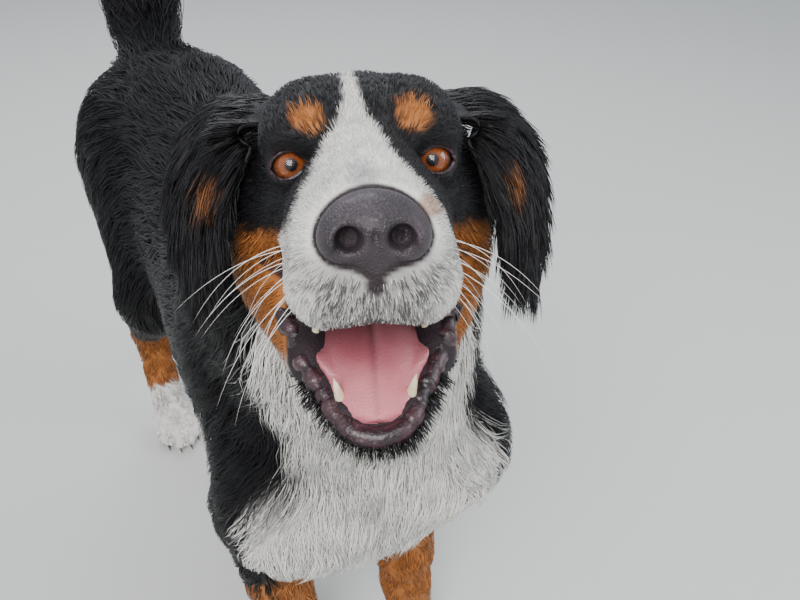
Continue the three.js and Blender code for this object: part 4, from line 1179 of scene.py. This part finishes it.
def makeEyes():
    ballMaterial, clearMaterial = eyeMaterials()
    for s, side in ((1, "left"), (-1, "right")):
        centre = eyeFrame(s)[1]
        gaze = unit(toHead(view["at"]) - centre)
        across = unit(np.cross(gaze, (0, 0, 1)))
        turned = np.stack([across, np.cross(across, gaze), gaze])
        points, faces = eyeGrid(eyeRadius - 0.7, 0, 72, 72)
        out = np.hypot(points[:, 0], points[:, 1]) + 99 * (points[:, 2] < 0)
        angle = np.arctan2(points[:, 1], points[:, 0])
        rays = 0.5 + 0.22 * np.sin(angle * 31 + np.sin(angle * 7) * 2) + 0.16 * np.sin(angle * 53 + out)
        tint = np.tile((0.055, 0.028, 0.020), (len(points), 1))
        amber = np.array((0.22, 0.056, 0.014)) * (0.55 + 0.6 * rays)[:, None]
        fade = np.interp(out, (eyeLook["pupil"], 5.2, eyeLook["iris"]), (0.75, 1.2, 0.5))
        tint += soften(out - eyeLook["iris"], 1.2)[:, None] * (amber * fade[:, None] - tint)
        tint += soften(np.abs(out - eyeLook["ring"]) - 0.8, 0.8)[:, None] * (0.012 - tint)
        tint += soften(out - eyeLook["pupil"], 0.5)[:, None] * (0.003 - tint)
        placed = toWorld(headPoint(points @ turned + centre))
        ball = addMesh(f"{side}_eye_ball", placed, faces, {"tint": tint})
        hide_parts(f"{side}_eye")
        finishPiece(ball, ballMaterial, "eye")
        points, faces = eyeGrid(eyeRadius - 0.4, eyeLook["dome"], 60, 48)
        aside = np.arctan2(np.hypot(points[:, 0], points[:, 1]), points[:, 2])
        shine = np.clip((eyeLook["edge"] - aside) / 0.2, 0, 1)
        placed = toWorld(headPoint(points @ turned + centre))
        cornea = addMesh(f"{side}_cornea", placed, faces, {"shine": shine})
        finishPiece(cornea, clearMaterial, "eye")
        makeLidRim(s, side)


# A dark moist rim runs round the opening of the lids
def makeLidRim(s, side):
    turned, centre = eyeFrame(s)
    path = []
    for rise, sign, ends in ((lids["rise"], 1, (-1, 1)), (lids["drop"], -1, (1, -1))):
        radius = (lids["half"] ** 2 + rise**2) / (2 * rise)
        for t in np.linspace(*ends, 17)[:-1]:
            across = s * (t * lids["half"] * 0.98 - sign * (1 - t * t))
            up = sign * (rise - radius + math.sqrt(radius**2 - (t * lids["half"]) ** 2)) + 0.09 * across
            depth = -math.sqrt(max((eyeRadius + 1.1) ** 2 - across**2 - up**2, 6))
            path.append((across, depth, up))
    radii = np.full(len(path), 1.15)
    rim = barMesh(f"{side}_lid_rim", np.array(path) @ turned.T + centre, radii, 10, True)
    finishPiece(rim, lipSkin, "black_coat")


makeEyes()


# The nose pad, with its nostrils, the slits at their sides and the groove down its middle cut into it
def makeNose():
    low, voxel = np.array((-30, -132, -62), float), 0.9
    p = gridPoints({"low": low, "voxel": voxel, "shape": (68, 52, 72)})
    d = noseForm(p)
    cuts = []
    for s in sides:
        cuts.append((limb((s * 10.5, -130, -25), (s * 11, -114, -23.5), 7.4, 4.8), 3))
        cuts.append((limb((s * 12, -123, -29), (s * 24.5, -113, -34), 3.2, 1.8), 3))
    cuts.append((limb((0, -123.2, -22), (0, -120.6, -35), 1.3, 2.0), 2))
    cuts.append((limb((0, -120.6, -35), (0, -112.4, -48), 2.0, 1.6), 2))
    for cut, blend in cuts:
        d = -melt(-d, cut[0](p), blend)
    points, faces = surfaceOf(d, low, voxel)
    nose = addMesh("nose_pad", toWorld(headPoint(points)), faces)
    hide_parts("nose")
    finishPiece(nose, leather, "nose_leather")


makeNose()

# The tongue lies in the lower jaw and widens over the lower canines
tongueLine = ((0, 14, -54), (0, -8, -51), (0, -38, -51), (0, -66, -55), (0, -90, -64))
tongueWidths = {
    "along": (0, 0.3, 0.55, 0.63, 0.68, 0.735, 0.8, 1),
    "half": (20, 23.5, 27.5, 30, 29, 23.5, 23, 23),
}


# A closed leaf of two faces, whose points a function places by their share along and across
def leafMesh(rows, columns, place):
    t, u = np.meshgrid(np.linspace(0, 1, rows + 1), np.linspace(-1, 1, columns + 1), indexing="ij")
    top, under = (place(t.ravel(), u.ravel(), face) for face in (1, -1))
    points = np.vstack([top, under])
    grid = np.arange((rows + 1) * (columns + 1)).reshape(rows + 1, columns + 1)
    a, b, c, d = (part.ravel() for part in (grid[:-1, :-1], grid[:-1, 1:], grid[1:, 1:], grid[1:, :-1]))
    over = np.vstack([np.stack([a, b, c], 1), np.stack([a, c, d], 1)])
    rim = np.concatenate([grid[0, :-1], grid[:-1, -1], grid[-1, :0:-1], grid[:0:-1, 0]])
    after = np.roll(rim, -1)
    below = len(top)
    upper, lower = [rim, rim + below, after], [after, rim + below, after + below]
    faces = np.vstack([over, over[:, ::-1] + below, np.stack(upper, 1), np.stack(lower, 1)])
    return points, turnedOut(points, faces)


def makeTongue():
    line = smoothCurve([opened(p) for p in tongueLine], 121)
    forward = unit(np.gradient(line, axis=0))
    up = unit(np.cross(forward, (-1.0, 0, 0)))
    fine = np.linspace(0, 1, 201)
    widths = np.interp(fine, tongueWidths["along"], tongueWidths["half"])
    widths = np.convolve(np.pad(widths, 6, "edge"), np.ones(13) / 13, "valid")

    def place(t, u, face):
        n = np.round(t * 120).astype(int)
        tip = np.clip((t - 0.8) / 0.2, 0, 1)
        half = np.interp(t, fine, widths) * np.sqrt(1 - tip**2)
        edge = 1 - u * u
        curl = 3.2 * u * u - 1.5 * edge - 3.4 * np.exp(-((u / 0.12) ** 2)) * np.clip(1.15 - t, 0, 1)
        wing = -26 * np.clip(np.abs(u) - 0.74, 0, 1) * np.exp(-(((t - 0.655) / 0.07) ** 2))
        lift = curl + wing + face * (1.2 + 3.4 * np.sqrt(edge) * (1 - 0.4 * t))
        across = np.stack([u * half, 0 * u, 0 * u], 1)
        return line[n] + across + up[n] * lift[:, None]

    points, faces = leafMesh(90, 48, place)
    along = np.linspace(0, 1, 91)
    across = np.linspace(-1, 1, 49)
    t, u = (grid.ravel() for grid in np.meshgrid(along, across, indexing="ij"))
    # Painted shade: the tongue's colour darkens towards the back of the mouth and along its middle groove
    shade = np.interp(t, (0, 0.4, 0.5, 0.62, 0.8, 0.92, 1), (0.1, 0.22, 0.38, 0.62, 0.88, 0.98, 1))
    shade = shade * (1 - (0.75 - 0.6 * t) * np.exp(-((u / 0.09) ** 2)))
    tint = np.tile(shade, 2)[:, None] * np.ones(3)
    tongue = addMesh("tongue_blade", toWorld(headPoint(points)), faces, {"tint": tint})
    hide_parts("tongue")
    finishPiece(tongue, tongueSkin, "tongue")


makeTongue()


# The lower lip follows the jaw's edge from one corner of the mouth round the chin to the other
lipCourse = ((15, -90, -67), (25, -72, -62.5), (35.5, -52, -57), (43, -32, -51.5), (47, -18, -48))


# Random draws make the lip lumpy at its sides, and it is even and a little thicker in front
def makeLips():
    rng = np.random.default_rng(31)
    left = [opened(p) for p in lipCourse]
    right = [p * (-1, 1, 1) for p in left]
    course = right[::-1] + [opened((0, -95, -69))] + left
    count = 150
    path = smoothCurve(course, count)
    front = np.exp(-((path[:, 0] / 20) ** 2)) * (path[:, 1] < -20)
    lumps = rng.normal(0, 1, (3, count))
    lumps = sum(np.roll(lumps, n, 1) for n in (-1, 0, 1)) / 1.7
    radii = 4.9 + 0.9 * front + 0.9 * lumps[0] * (1 - front)
    path[:, 2] += 0.8 * lumps[1] * (1 - front)
    path[:, 0] += 0.5 * lumps[2] * (1 - front)
    lip = barMesh("lower_lip", path, np.clip(radii, 2.6, 7), 14)
    finishPiece(lip, lipSkin, "nose_leather")
    makeChinFringe(path, rng)


# Short stiff dark hairs stand all round the chin under the lip
def makeChinFringe(path, rng):
    count = 900
    front = path[(np.abs(path[:, 0]) < 33) & (path[:, 1] < -20)]
    spots = front[rng.integers(0, len(front), count)] + rng.normal(0, 1.4, (count, 3))
    middle = opened((0, -50, -78))
    away = unit((spots - middle) * (1, 1, 0.4) + (0, 0, -14))
    roots = spots + away * 2.5 + np.array((0, 0.5, -3.5))
    length = rng.uniform(5, 11, count)
    heading = unit(away + rng.normal(0, 0.22, (count, 3)) + np.array((0, -0.1, -0.5)))
    steps = np.linspace(0, 1, 3)
    paths = roots[:, None] + heading[:, None] * (length[:, None] * steps)[..., None]
    outs = np.repeat(unit(np.cross(heading, (0.3, 0.2, 1)))[:, None], 3, 1)
    shade = rng.choice([0.006, 0.03, 0.11], count, p=[0.62, 0.26, 0.12])[:, None] * np.ones(3)
    unwrapped = unroll(roots, 1, (0, -110), (-110, 0))
    widths = rng.uniform(0.5, 1.0, count)
    piece = tuftPiece("coat_chin", headPoint(paths), outs @ headTurned.T, widths, shade, unwrapped, rng)
    finishPiece(piece, hair, "black_coat")


makeLips()


# Spikes that repeat are made by one node tree: teeth, claws and whiskers
def spikeTree(name, material):
    tree = bpy.data.node_groups.new(name, "GeometryNodeTree")
    sockets = {"Roots": "Geometry"}
    sockets |= {label: "Float" for label in ("Length", "Thickness", "Bend", "Blunt")}
    sockets |= {label: "Int" for label in ("Steps", "Sides")}
    for label, kind in sockets.items():
        tree.interface.new_socket(name=label, in_out="INPUT", socket_type="NodeSocket" + kind)
    tree.interface.new_socket(name="Spikes", in_out="OUTPUT", socket_type="NodeSocketGeometry")
    nodes, links = tree.nodes, tree.links
    given = nodes.new("NodeGroupInput").outputs
    made = nodes.new("NodeGroupOutput")

    def named(kind, key):
        node = nodes.new("GeometryNodeInputNamedAttribute")
        node.data_type = kind
        node.inputs["Name"].default_value = key
        return node.outputs["Attribute"]

    def reckon(operation, a, b):
        node = nodes.new("ShaderNodeMath")
        node.operation = operation
        for socket, value in zip(node.inputs, (a, b)):
            if isinstance(value, (int, float)):
                socket.default_value = value
            else:
                links.new(value, socket)
        return node.outputs[0]

    line = nodes.new("GeometryNodeCurveQuadraticBezier")
    line.inputs["Start"].default_value = (0, 0, 0)
    links.new(given["Steps"], line.inputs["Resolution"])
    for socket, (across, along) in {"Middle": (0, 0.5), "End": (1, 1)}.items():
        place = nodes.new("ShaderNodeCombineXYZ")
        bent = reckon("MULTIPLY", given["Bend"], given["Length"])
        links.new(reckon("MULTIPLY", bent, across), place.inputs["X"])
        links.new(reckon("MULTIPLY", given["Length"], along), place.inputs["Z"])
        links.new(place.outputs[0], line.inputs[socket])
    factor = nodes.new("GeometryNodeSplineParameter").outputs["Factor"]
    taper = reckon("POWER", reckon("SUBTRACT", 1.001, factor), given["Blunt"])
    rim = nodes.new("GeometryNodeCurvePrimitiveCircle")
    links.new(given["Sides"], rim.inputs["Resolution"])
    links.new(given["Thickness"], rim.inputs["Radius"])
    sweep = nodes.new("GeometryNodeCurveToMesh")
    sweep.inputs["Fill Caps"].default_value = True
    links.new(line.outputs[0], sweep.inputs["Curve"])
    links.new(rim.outputs["Curve"], sweep.inputs["Profile Curve"])
    links.new(taper, sweep.inputs["Scale"])
    turn = nodes.new("FunctionNodeAxesToRotation")
    turn.primary_axis, turn.secondary_axis = "Z", "X"
    links.new(named("FLOAT_VECTOR", "aim"), turn.inputs["Primary Axis"])
    links.new(named("FLOAT_VECTOR", "side"), turn.inputs["Secondary Axis"])
    spread = nodes.new("GeometryNodeInstanceOnPoints")
    links.new(given["Roots"], spread.inputs["Points"])
    links.new(sweep.outputs[0], spread.inputs["Instance"])
    links.new(turn.outputs[0], spread.inputs["Rotation"])
    links.new(named("FLOAT", "size"), spread.inputs["Scale"])
    real = nodes.new("GeometryNodeRealizeInstances")
    links.new(spread.outputs[0], real.inputs[0])
    coated = nodes.new("GeometryNodeSetMaterial")
    coated.inputs["Material"].default_value = material
    links.new(real.outputs[0], coated.inputs["Geometry"])
    links.new(coated.outputs[0], made.inputs[0])
    return tree


# A spike is a root, the way it points, the way it leans and its size
def growSpikes(name, spikes, material, look):
    tree = spikeTree(name, material)
    roots, aims, leans, sizes = (np.array(part, float) for part in zip(*spikes))
    mesh = bpy.data.meshes.new(name)
    mesh.from_pydata([tuple(p) for p in roots], [], [])
    for key, values in (("aim", unit(aims)), ("side", unit(leans))):
        mesh.attributes.new(key, "FLOAT_VECTOR", "POINT").data.foreach_set("vector", values.ravel())
    mesh.attributes.new("size", "FLOAT", "POINT").data.foreach_set("value", sizes.ravel())
    seedPiece = bpy.data.objects.new(name + "_roots", mesh)
    bpy.context.scene.collection.objects.link(seedPiece)
    modifier = seedPiece.modifiers.new("spikes", "NODES")
    modifier.node_group = tree
    for item in tree.interface.items_tree:
        if item.in_out == "INPUT" and item.name in look:
            modifier[item.identifier] = look[item.name]
    ready = seedPiece.evaluated_get(bpy.context.evaluated_depsgraph_get())
    made = bpy.data.meshes.new_from_object(ready)
    if made.materials[0] is None:
        made.materials.pop(index=0)
    piece = bpy.data.objects.new(name, made)
    bpy.context.scene.collection.objects.link(piece)
    seedPiece.modifiers.remove(modifier)
    bpy.data.objects.remove(seedPiece)
    for polygon in made.polygons:
        polygon.use_smooth = True
    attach(piece, "root")
    print(name, len(made.polygons))


def tooth(root, tip, size):
    lean = headTurned @ np.array((0, 1, 0), float)
    return toWorld(headPoint(root)), headTurned @ (np.array(tip) - root), lean, size


# Canines, cheek teeth and incisors, with those of the lower jaw opened with it
def makeTeeth():
    teeth = []
    for s in sides:
        teeth.append(tooth((s * 19, -80, -38), (s * 20, -84, -66), 1.35))
        teeth.append(tooth(opened((s * 15, -74, -76)), opened((s * 20, -79, -48)), 1.4))
        for n in range(4):
            x, y = s * (20.5 + n * 2.2), -60 + n * 14
            teeth.append(tooth((x, y, -38), (x, y - 2, -60), 0.92))
        for n in range(4):
            x, y = s * (22 + n * 2.6), -58 + n * 14
            teeth.append(tooth(opened((x, y, -74)), opened((x, y - 1, -50)), 0.8))
        for n in range(2):
            x, y = s * (30 + n * 2.4), -35 + n * 13
            teeth.append(tooth(opened((x, y, -62)), opened((x, y, -44)), 1.0))
        for n in range(3):
            x, y = s * (3.4 + n * 4.4), -88 + n * n * 1.6
            teeth.append(tooth(opened((x, y, -72)), opened((x, y - 3, -50)), 0.45))
            teeth.append(tooth((x * 1.1, y - 2, -48), (x * 1.1, y - 4, -66), 0.5))
    look = {"Length": 0.022, "Thickness": 0.0036, "Bend": 0.14, "Blunt": 0.62, "Steps": 8, "Sides": 10}
    growSpikes("teeth", teeth, enamel, look)


# One claw at each toe of the four paws
def makeClaws():
    claws = []
    for s in sides:
        for x, y, scale in paws.values():
            for across, reach in toes:
                root = np.array((s * x + s * across * scale, y - (reach + 15) * scale, 15 * scale))
                claws.append((toWorld(root), (s * across * 0.004, -1, -0.42), (0, 0, -1), scale))
    look = {"Length": 0.019, "Thickness": 0.0036, "Bend": 0.3, "Blunt": 0.7, "Steps": 8, "Sides": 8}
    growSpikes("claws", claws, horn, look)


# Four rows of whiskers on each side of the muzzle
def makeWhiskers():
    rng = np.random.default_rng(41)
    whiskers = []
    for s in sides:
        for row in range(4):
            for n in range(4):
                root = np.array((s * (37 - row * 0.5 - n * 2.4), -42 - n * 9, -36 - row * 6.5))
                aim = (s * 1.0, 0.35 - 0.18 * n, -0.12 - 0.2 * row + rng.normal(0, 0.1))
                lean = headTurned @ (0, 0.3, -1.0)
                whiskers.append((toWorld(headPoint(root)), headTurned @ aim, lean, rng.uniform(0.6, 1.1)))
    look = {"Length": 0.068, "Thickness": 0.00022, "Bend": 0.5, "Blunt": 0.7, "Steps": 12, "Sides": 4}
    growSpikes("whiskers", whiskers, whiskerHorn, look)


makeTeeth()
makeClaws()
makeWhiskers()
report("eyes, nose and mouth")

# Ears: a hanging leaf of skin on each side, with long wavy hair on both faces and at its edge.
# The line runs down the middle of the leaf in the head's frame.
earLine = ((50, 64, 38), (80, 64, 34), (103, 60, 6), (111, 54, -32), (108, 48, -72))


def earPlace(s):
    steps = 200
    line = smoothCurve([(s * x, y, z) for x, y, z in earLine], steps + 1)
    down = unit(np.gradient(line, axis=0))
    back = np.array((s * 0.62, 1, 0.12))
    back = unit(back - (down @ back)[:, None] * down)
    out = unit(np.cross(down, back)) * s

    def place(t, u, face):
        u = np.where(u < 0, u * 1.36, u)
        n = np.round(t * steps).astype(int)
        half = 38 * np.sin(math.pi * (0.2 + 0.66 * t)) ** 0.8 * np.sqrt(1 - t**5)
        cup = -9 * np.minimum(u * u, 1) * (1 - 0.5 * t) - 2
        thick = face * (1.2 + 1.6 * np.sqrt(np.clip(1 - u * u, 0, 1)) * (1 - 0.3 * t))
        return line[n] + back[n] * (u * half - 4)[:, None] + out[n] * (cup + thick)[:, None]

    def frame(t):
        n = np.round(t * steps).astype(int)
        return down[n], back[n], out[n]

    return place, frame


earStyle = {"rings": 5, "strands": 20, "gather": 0.6, "wave": 46, "sway": 2.6, "width": 1.35, "count": 5200}


# Black, with a faint patch of rust near the front edge of each ear
def earTint(q):
    tint = np.tile(np.array(coats["black"]), (len(q), 1))
    patch = np.hypot(q[:, 1] - 34, q[:, 2] + 2) - 5 + 3 * wander(q, 8, 12)
    paint(tint, "rust", 0.55 * soften(patch, 12))
    return tint


def makeEar(s, side):
    place, frameAt = earPlace(s)
    rng = np.random.default_rng(50 + s)
    points, faces = leafMesh(44, 28, place)
    flap = addMesh(f"{side}_ear_flap", toWorld(headPoint(points)), faces, {"tint": earTint(points)})
    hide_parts(f"{side}_ear")
    finishPiece(flap, hide, "black_coat")
    count = earStyle["count"]
    t = rng.uniform(0, 0.98, count)
    u = rng.uniform(-1, 1, count)
    u = np.sign(u) * np.abs(u) ** 0.7
    face = np.where(rng.random(count) < 0.62, 1.0, -1.0)
    roots = place(t, u, face)
    down, back, out = frameAt(t)
    out = out * face[:, None]
    length = (18 + 14 * t + 6 * np.abs(u) ** 3) * rng.uniform(0.7, 1.2, count)
    heading = unit(down + back * (0.12 * u * np.abs(u) - 0.06)[:, None] + rng.normal(0, 0.1, (count, 3)))
    steps = np.linspace(0, 1, earStyle["rings"])
    lift = (2.6 * steps**0.7 - 1.2 * (steps == 0))[None] * rng.uniform(0.5, 1.3, (count, 1))
    paths = roots[:, None] + heading[:, None] * (length[:, None] * steps)[..., None]
    sag = 0.16 * length[:, None] * steps**2
    paths = paths + out[:, None] * lift[..., None] + np.array((0, 0, -1.0)) * sag[..., None]
    outs = np.repeat(out[:, None], earStyle["rings"], 1)
    paths = gatherTufts(paths, outs, earStyle, rng)
    widths = earStyle["width"] * rng.uniform(0.6, 1.3, count)
    unwrapped = np.stack([0.25 + 0.24 * u + 0.5 * (face > 0), t], 1)
    name, turned = f"coat_{side}_ear", outs @ headTurned.T
    piece = tuftPiece(name, headPoint(paths), turned, widths, earTint(roots), unwrapped, rng)
    finishPiece(piece, hair, "black_coat")


for s, side in ((1, "left"), (-1, "right")):
    makeEar(s, side)
report("ears")


# Floor and light: each lamp's place, width, power and colour
lamps = {
    "key": ((-1.3, -1.9, 2.6), 1.7, 108, (1, 0.98, 0.95)),
    "fill": ((1.9, -1.2, 1.7), 1.4, 26, (0.94, 0.97, 1)),
    "back": ((0.3, 1.6, 2.4), 1.6, 44, (0.95, 0.97, 1)),
}


def makeRoom():
    size = 6
    corners = np.array([(-size, -size, 0), (size, -size, 0), (size, size, 0), (-size, size, 0)], float)
    floor = addMesh("floor", corners, np.array([(0, 1, 2, 3)]))
    made, nodes, links, shader = newMaterial("floor")
    setInputs(shader, {"Base Color": (0.56, 0.57, 0.55, 1), "Roughness": 0.9})
    floor.data.materials.append(made)
    world = bpy.data.worlds.new("sky")
    world.use_nodes = True
    setInputs(world.node_tree.nodes["Background"], {"Color": (0.86, 0.92, 1, 1), "Strength": 0.78})
    bpy.context.scene.world = world
    for name, (place, width, power, colour) in lamps.items():
        data = bpy.data.lights.new(name, "AREA")
        data.size = width
        data.energy = power
        data.color = colour
        lamp = bpy.data.objects.new(name, data)
        lamp.location = place
        lamp.rotation_euler = (Vector((0, -0.1, 0.5)) - Vector(place)).to_track_quat("-Z", "Y").to_euler()
        bpy.context.scene.collection.objects.link(lamp)


makeRoom()
